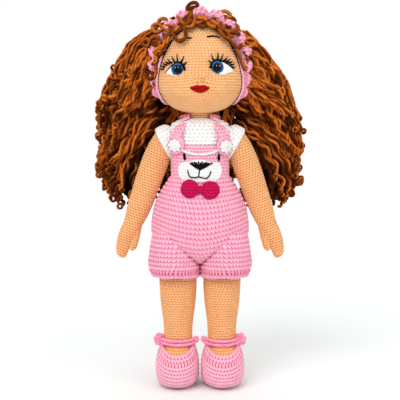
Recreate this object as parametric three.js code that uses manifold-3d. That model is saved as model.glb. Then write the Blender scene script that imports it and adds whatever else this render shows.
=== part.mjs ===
// A crocheted doll in a white top, ribbed shorts overalls and strapped shoes.
//
// Millimetres, +Z up. The floor is z = 0 and the doll looks towards -Y. Left and right are its own,
// so its left side is +X. Every soft piece is a crocheted skin over a stuffing of its own.

import * as THREE from 'three';
import { mergeVertices } from 'three/addons/utils/BufferGeometryUtils.js';
import Module from 'manifold-3d';

const wasm = await Module();
wasm.setup();

// Clearances and cloths
const gap = 0.3;
const skinWall = 2.4;
const clothWall = 2.2;
const feltWall = 1;
const overrun = 6;
const weldDistance = 0.0005;

// Facets
const bodySides = 16;
const footSides = 12;
const limbSides = 12;
const smallSides = 8;
const turningSides = 20;
const pathSteps = 6;
const threadSides = 5;

// Legs: heights are above the floor, the hip line is the axis that a leg swings about
const leg = {
  spacing: 21,
  hipHeight: 121.9,
  hemHeight: 101,
  calfHeight: 80,
  shinHeight: 60,
  ankleHeight: 46,
  heelHeight: 8,
  seamHalfWidth: 16.6,
  seamHalfDepth: 3.8,
  hemHalfWidth: 17.7,
  hemHalfDepth: 15.8,
  calfHalfWidth: 16.7,
  shinHalfWidth: 14.2,
  ankleHalfWidth: 13.4,
};

// Shoes: reaches are from the leg's middle line to the toe and to the heel
const shoe = {
  outset: 0.6,
  wall: 2.4,
  insole: 2,
  bulgeHeight: 21,
  mouthHeight: 38,
  bulgeHalfWidth: 20.3,
  toeReach: 40,
  heelReach: 22,
  mouthReach: 27,
  mouthHalfWidth: 12.6,
  mouthDepth: 8,
  strapThick: 2.8,
  strapHeight: 41.6,
  beadRadius: 3.3,
  flowerRadius: 5.4,
  flowerHole: 1.3,
  flowerThick: 2.4,
  flowerLobes: 5,
};
// The strap's section: two round cords, one above the other, as shares of a cord
const strapSectionShares = [[0, 0.95], [-1, 0.5], [-1, -0.5], [0, -0.95], [1, -0.5], [0.4, 0], [1, 0.5]];
// Rings of the shoe: height, width and length reaches as shares of the bulge
const shoeRingShares = [
  { height: 0, width: 0.71, toe: 0.82, heel: 0.88 },
  { height: 0.14, width: 0.86, toe: 0.93, heel: 0.95 },
  { height: 0.55, width: 0.98, toe: 1, heel: 1 },
  { height: 1, width: 1, toe: 0.985, heel: 1 },
  { height: 1.36, width: 0.95, toe: 0.87, heel: 0.98 },
  { height: 1.6, width: 0.87, toe: 0.64, heel: 0.92 },
];

// Trunk: each rise is from the level below it
const torso = {
  seamHalfWidth: 32,
  seamHalfDepth: 3.5,
  seatRise: 8.7,
  seatHalfWidth: 35,
  seatHalfDepth: 18,
  hipRise: 16,
  hipHalfWidth: 36,
  hipHalfDepth: 27,
  bellyHalfWidth: 31.5,
  bellyHalfDepth: 24.5,
  waistRise: 45,
  waistHalfWidth: 24.9,
  waistHalfDepth: 20.5,
  chestRise: 29,
  chestHalfWidth: 25,
  chestHalfDepth: 20,
  shoulderRise: 18,
  shoulderHalfWidth: 26.3,
  shoulderHalfDepth: 17.5,
  slopeRise: 5,
  slopeHalfWidth: 18,
  slopeHalfDepth: 13,
  crownRise: 1.8,
  crownHalfWidth: 8,
  crownHalfDepth: 7,
  neckRise: 9,
  neckHalfWidth: 10.1,
};
const dowel = { radius: 4, intoTorso: 36, intoHead: 28 };

// Arms hang from a pivot beside the shoulder and lean outwards
const arm = {
  leanDegrees: 19,
  pivotDrop: 6,
  pivotOutset: 5.4,
  topReach: 10.8,
  length: 122.6,
  shoulderHalfWidth: 11.3,
  upperHalfWidth: 12.4,
  lowerHalfWidth: 11.2,
  wristHalfWidth: 9.9,
  palmHalfWidth: 10.4,
  fingerHalfWidth: 7.6,
  tipHalfWidth: 2.4,
  socketRadius: 9.5,
  threadRadius: 0.8,
  knotRadius: 2.4,
  knotInset: 6,
  threadBend: 7,
};
// Levels down the arm, as shares of its length below the pivot
const armLevelShares = { upper: 0.13, middle: 0.3, lower: 0.58, wrist: 0.76, palm: 0.87, finger: 0.955 };
const thumb = { radius: 3.9, length: 15, heightShare: 0.84, inset: 6.5, forward: 7.5, splayDegrees: 9 };
const sleeve = { hemOutset: 11.4, hemDrop: 1.6, hemTiltDegrees: 33 };

// Clothes
const shirt = { hemBelowWaist: 6, collarRise: 1.1 };
const romper = {
  hipPuff: 7.2,
  seatPuff: 8.8,
  lowPuff: 10,
  crotchDrop: 4.2,
  creaseSlope: 1.03,
  legOutset: 4,
  legPuff: 7.9,
  hemFlareRise: 7,
};
const bib = { halfWidth: 26.2, topRise: 33.5, cornerRadius: 9 };
const strap = { halfWidth: 5.5, middle: 19.6 };
const badge = {
  earRadius: 8.8,
  earThick: 2.2,
  earX: 22,
  earRise: 33.5,
  earTuck: 2,
  puffRadius: 5.2,
  lineRise: 26,
  lineSag: 5.5,
  lineHalfSpan: 18.6,
  lineThick: 2.2,
  muzzleHalfWidth: 19.4,
  muzzleHalfHeight: 10.4,
  muzzleRise: 11.3,
  noseHalfWidth: 9.6,
  noseHeight: 7.4,
  noseTopRise: 18.6,
  mouthHalfWidth: 9.4,
  mouthDrop: 8,
  mouthThick: 1.1,
  eyeX: 15.6,
  eyeRise: 22.6,
  eyeHalfWidth: 1.5,
  eyeHalfHeight: 3.1,
};
const bow = {
  lobeRadius: 8,
  lobeX: 8.6,
  thick: 3,
  drop: 6.5,
  knotHalfWidth: 3,
  knotHalfHeight: 3.6,
  knotThick: 2.4,
};

// Head: heights are above the chin
const head = {
  height: 86,
  halfWidth: 39,
  halfDepth: 38,
};
const headRingShares = [
  { height: 0, size: 0.16 },
  { height: 0.018, size: 0.4 },
  { height: 0.063, size: 0.655 },
  { height: 0.14, size: 0.85 },
  { height: 0.23, size: 0.965 },
  { height: 0.34, size: 1 },
  { height: 0.5, size: 0.945 },
  { height: 0.62, size: 0.87 },
  { height: 0.74, size: 0.76 },
  { height: 0.85, size: 0.605 },
  { height: 0.94, size: 0.4 },
  { height: 1, size: 0.09 },
];
const face = {
  eyeRadius: 6,
  eyeDome: 3.4,
  eyeHeight: 41,
  eyeHalfSpacing: 17.7,
  eyeGaze: 2.3,
  postRadius: 1.8,
  postLength: 9,
  washerRadius: 5,
  washerThick: 1.4,
  whiteReach: 13.4,
  whiteDrop: 2.8,
  lashLength: 6,
  lashSpikes: 7,
  browBelowCrown: 16,
  browX: 12.6,
  browHalfSpan: 5,
  browThick: 1,
  lipHeight: 22.4,
  lipHalfWidth: 8.4,
  lipHalfHeight: 2.9,
};

// Hair
const cap = { wall: 1.5, edgeHeight: 58, edgeSlope: 0.95 };
const fringe = { radius: 4.6, spanDegrees: 150, loops: 14, loopDepth: 1.4, stepsPerLoop: 2 };
const band = {
  halfWidth: 5,
  wall: 2.4,
  forward: 3.5,
  leanDegrees: 9,
  napeHeight: 12.5,
  frillReach: 7,
  frillThick: 2.2,
  scallops: 13,
  scallopSteps: 3,
  frillSpanDegrees: 196,
};
const hair = {
  sideReach: 103,
  sideHalfDepth: 15,
  clearOfArm: 1.6,
  backHalfWidth: 41,
  backReach: 47,
  backDepth: 24,
};
// Side hair from its tail up: height above the chin as a share of the head's height, inner and outer
// edges as shares of the side reach, half depth and middle line as shares of the side half depth
const sideHairShares = [
  { up: -1.09, inner: 0.6, outer: 0.75, thick: 0.25, back: 1.6 },
  { up: -0.96, inner: 0.49, outer: 0.86, thick: 0.5, back: 1.6 },
  { up: -0.81, inner: 0.42, outer: 0.945, thick: 0.62, back: 1.6 },
  { up: -0.5, inner: 0.36, outer: 0.995, thick: 0.68, back: 1.6 },
  { up: -0.2, inner: 0.31, outer: 0.99, thick: 0.7, back: 1.6 },
  { up: 0.1, inner: 0.29, outer: 0.96, thick: 0.85, back: 1.15 },
  { up: 0.46, inner: 0.28, outer: 0.815, thick: 0.95, back: 0.95 },
  { up: 0.78, inner: 0.18, outer: 0.65, thick: 0.95, back: 0.85 },
  { up: 0.95, inner: 0.08, outer: 0.495, thick: 0.8, back: 0.8 },
  { up: 1.05, inner: 0.13, outer: 0.37, thick: 0.5, back: 0.85 },
  { up: 1.08, inner: 0.2, outer: 0.28, thick: 0.2, back: 0.9 },
];
// Back hair from its tail up: half width, depth and rearmost reach as shares of their sizes
const backHairShares = [
  { up: -1.17, width: 0.7, depth: 0.18, reach: 0.91 },
  { up: -0.93, width: 1, depth: 0.3, reach: 0.94 },
  { up: -0.5, width: 1, depth: 0.66, reach: 0.94 },
  { up: 0, width: 0.94, depth: 0.92, reach: 0.97 },
  { up: 0.5, width: 0.92, depth: 1, reach: 1 },
  { up: 0.86, width: 0.8, depth: 1, reach: 0.86 },
  { up: 1.04, width: 0.5, depth: 0.66, reach: 0.62 },
  { up: 1.09, width: 0.2, depth: 0.25, reach: 0.46 },
];

// Places that follow from the sizes above
const seamHeight = leg.hipHeight + leg.seamHalfDepth + gap;
const seatHeight = seamHeight + torso.seatRise;
const hipHeight = seatHeight + torso.hipRise;
const waistHeight = hipHeight + torso.waistRise;
const chestHeight = waistHeight + torso.chestRise;
const shoulderHeight = chestHeight + torso.shoulderRise;
const slopeHeight = shoulderHeight + torso.slopeRise;
const crownHeight = slopeHeight + torso.crownRise;
const neckHeight = crownHeight + torso.neckRise;
const headBase = neckHeight + gap;
const pivotHeight = shoulderHeight - arm.pivotDrop;
const shirtLift = gap + clothWall;
const bibLift = shirtLift + gap + clothWall;
const appliqueLift = bibLift + gap + feltWall;
const armPlane = torso.shoulderHalfWidth + shirtLift + gap;
const pivotX = armPlane + arm.pivotOutset;
const crotchHeight = seamHeight - romper.crotchDrop - clothWall;
const browHeight = head.height - face.browBelowCrown;
const hairBase = cap.wall + 2 * gap;
const bandLift = hairBase + band.wall;

// Solids: a closed mesh becomes a solid that can be joined and cut
function solidOf(geometry) {
  const bare = geometry.clone();
  for (const name of Object.keys(bare.attributes)) {
    if (name !== 'position') bare.deleteAttribute(name);
  }
  const merged = mergeVertices(bare, weldDistance);
  return new wasm.Manifold(new wasm.Mesh({
    numProp: 3,
    vertProperties: new Float32Array(merged.attributes.position.array),
    triVerts: new Uint32Array(merged.index.array),
  }));
}

function geometryOf(solid) {
  const mesh = solid.getMesh();
  const geometry = new THREE.BufferGeometry();
  geometry.setAttribute('position', new THREE.BufferAttribute(new Float32Array(mesh.vertProperties), 3));
  geometry.setIndex(new THREE.BufferAttribute(new Uint32Array(mesh.triVerts), 1));
  return geometry;
}

// The largest of a solid's separate bodies, without the slivers that a cut can leave
function mainBody(solid) {
  const bodies = solid.decompose();
  return bodies.reduce((most, body) => (body.volume() > most.volume() ? body : most));
}

// A closed skin through rings of points, low ring first, each ring anticlockwise from above
function loft(rings) {
  const sides = rings[0].length;
  const points = rings.flat();
  const triangles = [];
  for (let level = 0; level + 1 < rings.length; level += 1) {
    for (let side = 0; side < sides; side += 1) {
      const here = level * sides + side;
      const next = level * sides + (side + 1) % sides;
      triangles.push(here, next, next + sides, here, next + sides, here + sides);
    }
  }
  const last = (rings.length - 1) * sides;
  const lowMiddle = points.push(middleOf(rings[0])) - 1;
  const highMiddle = points.push(middleOf(rings[rings.length - 1])) - 1;
  for (let side = 0; side < sides; side += 1) {
    const next = (side + 1) % sides;
    triangles.push(lowMiddle, next, side, highMiddle, last + side, last + next);
  }
  const geometry = new THREE.BufferGeometry().setFromPoints(points);
  geometry.setIndex(triangles);
  return geometry;
}

function middleOf(ring) {
  const sum = ring.reduce((total, point) => total.add(point), new THREE.Vector3());
  return sum.divideScalar(ring.length);
}

// An oval ring at a height
function ovalRing({ z, width, depth, x = 0, y = 0 }, sides) {
  return Array.from({ length: sides }, (_, side) => {
    const angle = side / sides * 2 * Math.PI;
    return new THREE.Vector3(x + width * Math.cos(angle), y + depth * Math.sin(angle), z);
  });
}

// A smooth swelling and tapering form through levels of named width and depth
function stuffedForm(levels, sides, stepsPerSpan = 2) {
  const sizes = levels.map((level) => new THREE.Vector3(level.width, level.depth, level.z));
  const middles = levels.map((level) => new THREE.Vector3(level.x ?? 0, level.y ?? 0, 0));
  const sizeCurve = new THREE.CatmullRomCurve3(sizes, false, 'catmullrom', 0.5);
  const middleCurve = new THREE.CatmullRomCurve3(middles, false, 'catmullrom', 0.5);
  const steps = (levels.length - 1) * stepsPerSpan;
  return loft(Array.from({ length: steps + 1 }, (_, step) => {
    const size = sizeCurve.getPoint(step / steps);
    const middle = middleCurve.getPoint(step / steps);
    return ovalRing({ z: size.z, width: size.x, depth: size.y, x: middle.x, y: middle.y }, sides);
  }));
}

// The same form with its surface moved outwards, or inwards where the distance is negative
function grown(geometry, distance) {
  const moved = geometry.clone();
  moved.computeVertexNormals();
  const position = moved.attributes.position;
  const normal = moved.attributes.normal;
  for (let i = 0; i < position.count; i += 1) {
    position.setXYZ(
      i,
      position.getX(i) + normal.getX(i) * distance,
      position.getY(i) + normal.getY(i) * distance,
      position.getZ(i) + normal.getZ(i) * distance,
    );
  }
  moved.deleteAttribute('normal');
  return moved;
}

function grownSolid(geometry, distance) {
  return solidOf(grown(geometry, distance));
}

// The layer of cloth between two distances from a form
function layer(geometry, inner, outer) {
  return grownSolid(geometry, outer).subtract(grownSolid(geometry, inner));
}

// A box from its lowest to its highest corner
function boxBetween(low, high) {
  const size = new THREE.Vector3().subVectors(high, low);
  const middle = new THREE.Vector3().addVectors(low, high).multiplyScalar(0.5);
  const geometry = new THREE.BoxGeometry(size.x, size.y, size.z);
  return geometry.translate(middle.x, middle.y, middle.z);
}

function boxSolid(x0, y0, z0, x1, y1, z1) {
  return solidOf(boxBetween(new THREE.Vector3(x0, y0, z0), new THREE.Vector3(x1, y1, z1)));
}

// A rod between two heights
function uprightRod(radius, z0, z1, sides = smallSides) {
  const geometry = new THREE.CylinderGeometry(radius, radius, z1 - z0, sides);
  return geometry.rotateX(Math.PI / 2).translate(0, 0, (z0 + z1) / 2);
}

// A flat outline in X and Z, carried along Y as a punch
function punch(outline, y0, y1) {
  const geometry = new THREE.ExtrudeGeometry(new THREE.Shape(outline), {
    depth: y1 - y0,
    bevelEnabled: false,
  });
  return solidOf(geometry.rotateX(Math.PI / 2).translate(0, y1, 0));
}

// A round thread along a smooth route
function tube(points, radius, steps, sides = threadSides, closed = false) {
  const section = Array.from({ length: sides }, (_, side) => {
    const angle = side / sides * 2 * Math.PI;
    return new THREE.Vector2(radius * Math.cos(angle), radius * Math.sin(angle));
  });
  return new THREE.ExtrudeGeometry(new THREE.Shape(section), {
    steps,
    bevelEnabled: false,
    extrudePath: new THREE.CatmullRomCurve3(points, closed),
  });
}

function ovalOutline(x, z, halfWidth, halfHeight, sides = smallSides) {
  return Array.from({ length: sides }, (_, side) => {
    const angle = side / sides * 2 * Math.PI;
    return new THREE.Vector2(x + halfWidth * Math.cos(angle), z + halfHeight * Math.sin(angle));
  });
}

// Where a straight line from a point leaves a form, and the form's direction outwards there
function surfaceHit(geometry, from, direction) {
  const form = geometry.clone();
  form.computeVertexNormals();
  const skin = new THREE.Mesh(form, new THREE.MeshBasicMaterial({ side: THREE.DoubleSide }));
  const hits = new THREE.Raycaster(from, direction.clone().normalize()).intersectObject(skin);
  const hit = hits[hits.length - 1];
  const normal = hit.face.normal.clone();
  if (normal.dot(direction) < 0) normal.negate();
  return { point: hit.point, normal };
}

function frontHit(geometry, x, z) {
  return surfaceHit(geometry, new THREE.Vector3(x, 0, z), new THREE.Vector3(0, -1, 0));
}

// A piece modelled round the origin and facing +Z, set on a form and facing outwards from it
function setOn(piece, hit, lift) {
  const turn = new THREE.Quaternion().setFromUnitVectors(new THREE.Vector3(0, 0, 1), hit.normal);
  const place = hit.point.clone().addScaledVector(hit.normal, lift);
  return piece.clone().applyQuaternion(turn).translate(place.x, place.y, place.z);
}

// The mirror image of a piece across the doll's middle plane
function mirrored(geometry) {
  const other = geometry.clone();
  const position = other.attributes.position;
  for (let i = 0; i < position.count; i += 1) position.setX(i, -position.getX(i));
  const index = other.index;
  for (let i = 0; i < index.count; i += 3) {
    const second = index.getX(i + 1);
    index.setX(i + 1, index.getX(i + 2));
    index.setX(i + 2, second);
  }
  return other;
}

function forSide(side, geometry) {
  return side > 0 ? geometry : mirrored(geometry);
}

// Finishes
function crochet(colour) {
  return { color: colour, roughness: 0.9, metalness: 0 };
}
const finish = {
  skin: crochet(0xf6b27c),
  pink: crochet(0xf7aec5),
  white: crochet(0xf4f3f1),
  crimson: crochet(0xc0064c),
  black: crochet(0x17141a),
  lip: crochet(0xbd0a12),
  hair: crochet(0x6b3415),
  stuffing: crochet(0xf0efec),
  wood: { color: 0xd8b98a, roughness: 0.6, metalness: 0 },
  eye: { color: 0x10457a, roughness: 0.12, metalness: 0 },
  washer: { color: 0xdedede, roughness: 0.4, metalness: 0 },
  insole: { color: 0xc9b79b, roughness: 0.8, metalness: 0 },
};

function piece(name, solidOrGeometry, look) {
  const geometry = solidOrGeometry.isBufferGeometry ? solidOrGeometry : geometryOf(mainBody(solidOrGeometry));
  geometry.computeVertexNormals();
  const mesh = new THREE.Mesh(geometry, new THREE.MeshStandardMaterial(look));
  mesh.name = name;
  return mesh;
}

// Forms that several pieces share
function trunkForm() {
  return stuffedForm([
    { z: seamHeight, width: torso.seamHalfWidth, depth: torso.seamHalfDepth },
    { z: seatHeight, width: torso.seatHalfWidth, depth: torso.seatHalfDepth },
    { z: hipHeight, width: torso.hipHalfWidth, depth: torso.hipHalfDepth },
    { z: hipHeight + torso.waistRise / 2, width: torso.bellyHalfWidth, depth: torso.bellyHalfDepth },
    { z: waistHeight, width: torso.waistHalfWidth, depth: torso.waistHalfDepth },
    { z: chestHeight, width: torso.chestHalfWidth, depth: torso.chestHalfDepth },
    { z: shoulderHeight, width: torso.shoulderHalfWidth, depth: torso.shoulderHalfDepth },
    { z: slopeHeight, width: torso.slopeHalfWidth, depth: torso.slopeHalfDepth },
    { z: crownHeight, width: torso.crownHalfWidth, depth: torso.crownHalfDepth },
  ], bodySides, 1);
}

function headForm() {
  return loft(headRingShares.map((share) => ovalRing({
    z: headBase + share.height * head.height,
    width: share.size * head.halfWidth,
    depth: share.size * head.halfDepth,
  }, bodySides)));
}

function armForm() {
  const down = (share) => pivotHeight - share * arm.length;
  const form = stuffedForm([
    { z: down(1), width: arm.tipHalfWidth, depth: arm.tipHalfWidth },
    { z: down(armLevelShares.finger), width: arm.fingerHalfWidth, depth: arm.fingerHalfWidth },
    { z: down(armLevelShares.palm), width: arm.palmHalfWidth, depth: arm.palmHalfWidth },
    { z: down(armLevelShares.wrist), width: arm.wristHalfWidth, depth: arm.wristHalfWidth },
    { z: down(armLevelShares.lower), width: arm.lowerHalfWidth, depth: arm.lowerHalfWidth },
    { z: down(armLevelShares.middle), width: arm.upperHalfWidth, depth: arm.upperHalfWidth },
    { z: down(armLevelShares.upper), width: arm.upperHalfWidth, depth: arm.upperHalfWidth },
    { z: pivotHeight, width: arm.shoulderHalfWidth, depth: arm.shoulderHalfWidth },
    {
      z: pivotHeight + arm.topReach * 0.72,
      width: arm.shoulderHalfWidth * 0.72,
      depth: arm.shoulderHalfWidth * 0.72,
    },
    { z: pivotHeight + arm.topReach, width: arm.tipHalfWidth, depth: arm.tipHalfWidth },
  ], limbSides, 1);
  return leaned(form);
}

// Turned outwards about the shoulder pivot
function leaned(geometry) {
  const lean = -THREE.MathUtils.degToRad(arm.leanDegrees);
  return geometry.translate(0, 0, -pivotHeight).rotateY(lean).translate(pivotX, 0, pivotHeight);
}

function thumbForm() {
  const along = thumb.heightShare * arm.length;
  const form = new THREE.CapsuleGeometry(thumb.radius, thumb.length - 2 * thumb.radius, 3, threadSides + 2);
  form.rotateX(Math.PI / 2).rotateY(THREE.MathUtils.degToRad(thumb.splayDegrees));
  return leaned(form.translate(-thumb.inset, -thumb.forward, pivotHeight - along));
}

function legForm(shrink = 0) {
  const capRadius = leg.seamHalfDepth - shrink;
  const level = (z, width, depth) => ({ z, width: width - shrink, depth: depth - shrink });
  return stuffedForm([
    level(leg.heelHeight, leg.ankleHalfWidth, leg.ankleHalfWidth),
    level(leg.ankleHeight, leg.ankleHalfWidth, leg.ankleHalfWidth),
    level(leg.shinHeight, leg.shinHalfWidth, leg.shinHalfWidth),
    level(leg.calfHeight, leg.calfHalfWidth, leg.calfHalfWidth),
    level(leg.hemHeight, leg.hemHalfWidth, leg.hemHalfDepth),
    level(leg.hipHeight, leg.seamHalfWidth, leg.seamHalfDepth),
    { z: leg.hipHeight + 0.7 * capRadius, width: leg.seamHalfWidth - shrink, depth: 0.7 * capRadius },
    {
      z: leg.hipHeight + capRadius,
      width: leg.seamHalfWidth - shrink - capRadius / 2,
      depth: 0.15 * capRadius,
    },
  ], limbSides, 1);
}

// The shoe's outer form, or the form of what lies inside it at a distance from its surface
function shoeForm(shrink = 0, rise = 0) {
  const rings = shoeRingShares.map((share) => {
    const toe = share.toe * shoe.toeReach - shrink;
    const heel = share.heel * shoe.heelReach - shrink;
    return {
      z: share.height * shoe.bulgeHeight,
      width: share.width * shoe.bulgeHalfWidth - shrink,
      depth: (toe + heel) / 2,
      x: shoe.outset,
      y: (heel - toe) / 2,
    };
  });
  const ankle = leg.ankleHalfWidth + gap + shoe.wall - shrink;
  rings.push({ z: shoe.mouthHeight + rise, width: ankle, depth: ankle, x: shoe.outset / 2 });
  return loft(rings.map((ring) => ovalRing(ring, footSides)));
}

// The overalls around the trunk and, as two short tubes, around the tops of the legs
function romperTrunkForm() {
  const waist = shirtLift + gap + clothWall;
  return stuffedForm([
    { z: crotchHeight, width: torso.seamHalfWidth, depth: torso.seatHalfDepth * 0.6 },
    {
      z: seatHeight,
      width: torso.hipHalfWidth + romper.lowPuff,
      depth: torso.hipHalfDepth + romper.seatPuff * 0.6,
    },
    { z: hipHeight, width: torso.hipHalfWidth + romper.lowPuff, depth: torso.hipHalfDepth + romper.hipPuff },
    {
      z: hipHeight + torso.waistRise * 0.5,
      width: torso.hipHalfWidth + romper.hipPuff,
      depth: torso.hipHalfDepth + romper.hipPuff * 0.8,
    },
    {
      z: waistHeight - torso.waistRise * 0.2,
      width: torso.waistHalfWidth + waist + romper.hipPuff,
      depth: torso.waistHalfDepth + waist + romper.hipPuff * 0.6,
    },
    { z: waistHeight, width: torso.waistHalfWidth + waist, depth: torso.waistHalfDepth + waist },
  ], bodySides, 1);
}

function romperLegForm(shrink) {
  const hemLift = gap + clothWall - shrink;
  const low = shrink > 0 ? overrun : 0;
  const outset = romper.legOutset;
  return stuffedForm([
    {
      z: leg.hemHeight - low,
      width: leg.hemHalfWidth + hemLift,
      depth: leg.hemHalfDepth + hemLift,
      x: leg.spacing,
    },
    {
      z: leg.hemHeight + romper.hemFlareRise,
      width: leg.hemHalfWidth + romper.legPuff * 0.8 - shrink,
      depth: leg.hemHalfDepth + romper.legPuff * 0.8 - shrink,
      x: leg.spacing + outset * 0.6,
    },
    {
      z: seamHeight,
      width: leg.spacing + outset - gap - shrink,
      depth: leg.hemHalfDepth + romper.legPuff * 1.1 - shrink,
      x: leg.spacing + outset,
    },
    {
      z: hipHeight,
      width: leg.spacing - shrink,
      depth: leg.hemHalfDepth + romper.legPuff - shrink,
      x: leg.spacing + outset * 0.5,
    },
  ], limbSides, 1);
}

const trunk = trunkForm();
const skull = headForm();
const armShape = armForm();

// Trunk: skin, stuffing, and the stiffener of the neck
function neckSolid(lift) {
  return solidOf(uprightRod(torso.neckHalfWidth + lift, slopeHeight, neckHeight, bodySides));
}

function shoulderThread(lift) {
  const reach = armPlane + arm.knotInset;
  const route = [
    new THREE.Vector3(-reach, 0, pivotHeight),
    new THREE.Vector3(-armPlane + skinWall, 0, pivotHeight),
    new THREE.Vector3(-dowel.radius * 2, arm.threadBend, pivotHeight),
    new THREE.Vector3(dowel.radius * 2, arm.threadBend, pivotHeight),
    new THREE.Vector3(armPlane - skinWall, 0, pivotHeight),
    new THREE.Vector3(reach, 0, pivotHeight),
  ];
  let thread = solidOf(tube(route, arm.threadRadius + lift, 12));
  for (const side of [-1, 1]) {
    const knot = new THREE.SphereGeometry(arm.knotRadius + lift, threadSides, threadSides);
    thread = thread.add(solidOf(knot.translate(side * reach, 0, pivotHeight)));
  }
  return thread;
}

function dowelSolid(lift) {
  return solidOf(uprightRod(
    dowel.radius + lift,
    neckHeight - dowel.intoTorso - lift,
    neckHeight + dowel.intoHead + lift,
    turningSides,
  ));
}

function armNeck(lift, inwards = 0) {
  const low = torso.shoulderHalfWidth + gap - inwards;
  const length = pivotX + gap - low;
  const radius = arm.socketRadius + lift;
  const rod = new THREE.CylinderGeometry(radius, radius, length, turningSides);
  return solidOf(rod.rotateZ(Math.PI / 2).translate(low + length / 2, 0, pivotHeight));
}

function bothSides(solid) {
  return solid.add(solidOf(mirrored(geometryOf(solid))));
}

function torsoPieces() {
  const thread = shoulderThread(gap);
  const bore = dowelSolid(gap);
  const body = solidOf(trunk).add(neckSolid(0));
  const hollow = grownSolid(trunk, -skinWall).add(neckSolid(-skinWall));
  // The stuffing stops above the seat seam, so that the legs can fold there
  const fill = grownSolid(trunk, -skinWall - gap).intersect(boxSolid(
    -pivotX, -pivotX, seatHeight, pivotX, pivotX, crownHeight,
  ));
  const collarTop = crownHeight + shirt.collarRise;
  const shirtCut = boxSolid(
    -pivotX, -torso.hipHalfDepth * 2, waistHeight - shirt.hemBelowWaist,
    pivotX, torso.hipHalfDepth * 2, collarTop,
  );
  const armholes = bothSides(armNeck(gap, torso.shoulderHalfWidth / 2));
  return [
    piece('torso_skin', body.subtract(hollow).subtract(thread).subtract(bore), finish.skin),
    piece('torso_stuffing', fill.subtract(thread).subtract(bore), finish.stuffing),
    piece('neck_dowel', dowelSolid(0), finish.wood),
    piece('shoulder_thread', shoulderThread(0), finish.white),
    piece(
      'shirt_body',
      layer(trunk, gap, shirtLift).intersect(shirtCut).subtract(neckSolid(gap)).subtract(armholes),
      finish.white,
    ),
  ];
}

// Overalls: one hollow form, parted along the creases between trunk and legs
function creaseWedge(lift) {
  const reach = (torso.hipHalfWidth + romper.lowPuff) * 1.5;
  const outline = [
    new THREE.Vector2(0, crotchHeight + lift),
    new THREE.Vector2(reach, crotchHeight + lift + reach * romper.creaseSlope),
    new THREE.Vector2(-reach, crotchHeight + lift + reach * romper.creaseSlope),
  ];
  return punch(outline, -reach, reach);
}

function romperPieces() {
  const trunkPart = romperTrunkForm();
  const outer = solidOf(trunkPart).add(bothSides(solidOf(romperLegForm(0))));
  const inner = grownSolid(trunkPart, -clothWall).add(bothSides(solidOf(romperLegForm(clothWall))));
  const waistHole = grownSolid(trunk, shirtLift + gap).intersect(boxSolid(
    -pivotX, -pivotX, waistHeight - torso.waistRise * 0.5,
    pivotX, pivotX, waistHeight + overrun,
  ));
  const cloth = outer.subtract(inner).subtract(waistHole);
  const body = cloth.intersect(creaseWedge(gap));
  const legs = cloth.subtract(creaseWedge(0));
  const right = legs.intersect(boxSolid(
    -pivotX * 2, -pivotX * 2, 0, -gap / 2, pivotX * 2, waistHeight,
  ));
  return { body, legCloth: geometryOf(mainBody(right)), outer: geometryOf(mainBody(outer)) };
}

// Chest panel, straps and the sewn-on face
function bibOutline() {
  const low = waistHeight + gap;
  const high = waistHeight + bib.topRise;
  const round = bib.cornerRadius;
  const shape = new THREE.Shape();
  shape.moveTo(-bib.halfWidth, low);
  shape.lineTo(bib.halfWidth, low);
  shape.lineTo(bib.halfWidth, high - round);
  shape.quadraticCurveTo(bib.halfWidth, high, bib.halfWidth - round, high);
  shape.lineTo(round - bib.halfWidth, high);
  shape.quadraticCurveTo(-bib.halfWidth, high, -bib.halfWidth, high - round);
  return shape.getPoints(4);
}

function chestPunch(outline) {
  return punch(outline, -torso.chestHalfDepth * 2, -torso.chestHalfDepth * 0.2);
}

function bibPieces() {
  const clothLayer = layer(trunk, shirtLift + gap, bibLift);
  const badgeLayer = layer(trunk, bibLift + gap, appliqueLift);
  const noseLayer = layer(trunk, appliqueLift + gap, appliqueLift + gap + feltWall);
  const panel = clothLayer.intersect(chestPunch(bibOutline()));
  const muzzleOutline = ovalOutline(
    0, waistHeight + badge.muzzleRise, badge.muzzleHalfWidth, badge.muzzleHalfHeight, limbSides,
  );
  const chest = grown(trunk, bibLift);
  const pieces = [
    piece('romper_bib', panel, finish.pink),
    piece('bear_muzzle', badgeLayer.intersect(chestPunch(muzzleOutline)), finish.white),
    piece('bear_nose', noseLayer.intersect(chestPunch(noseOutline())), finish.black),
    piece('bear_mouth', noseLayer.intersect(chestPunch(mouthOutline())), finish.black),
  ];
  const line = Array.from({ length: pathSteps + 1 }, (_, i) => {
    const across = 2 * i / pathSteps - 1;
    const z = waistHeight + badge.lineRise + badge.lineSag * across * across;
    const hit = frontHit(chest, across * badge.lineHalfSpan, z);
    return hit.point.addScaledVector(hit.normal, gap + badge.lineThick / 2);
  });
  const onPanel = grownSolid(trunk, bibLift + gap);
  let piping = solidOf(tube(line, badge.lineThick / 2, 8)).subtract(onPanel);
  for (const side of [-1, 1]) {
    const name = side > 0 ? 'left' : 'right';
    const eyeOutline = ovalOutline(
      side * badge.eyeX,
      waistHeight + badge.eyeRise,
      badge.eyeHalfWidth,
      badge.eyeHalfHeight,
      threadSides + 2,
    );
    pieces.push(piece(`bear_eye_${name}`, badgeLayer.intersect(chestPunch(eyeOutline)), finish.black));
    pieces.push(...strapAndEar(side, name, clothLayer, chest, onPanel));
    const earClear = uprightRod(badge.earRadius + gap, -overrun, overrun, limbSides);
    piping = piping.subtract(solidOf(setOn(earClear, earHit(side, chest), 0)));
  }
  pieces.push(piece('bib_piping', piping, finish.white));
  return pieces;
}

function earHit(side, chest) {
  return frontHit(chest, side * badge.earX, waistHeight + badge.earRise);
}

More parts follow.
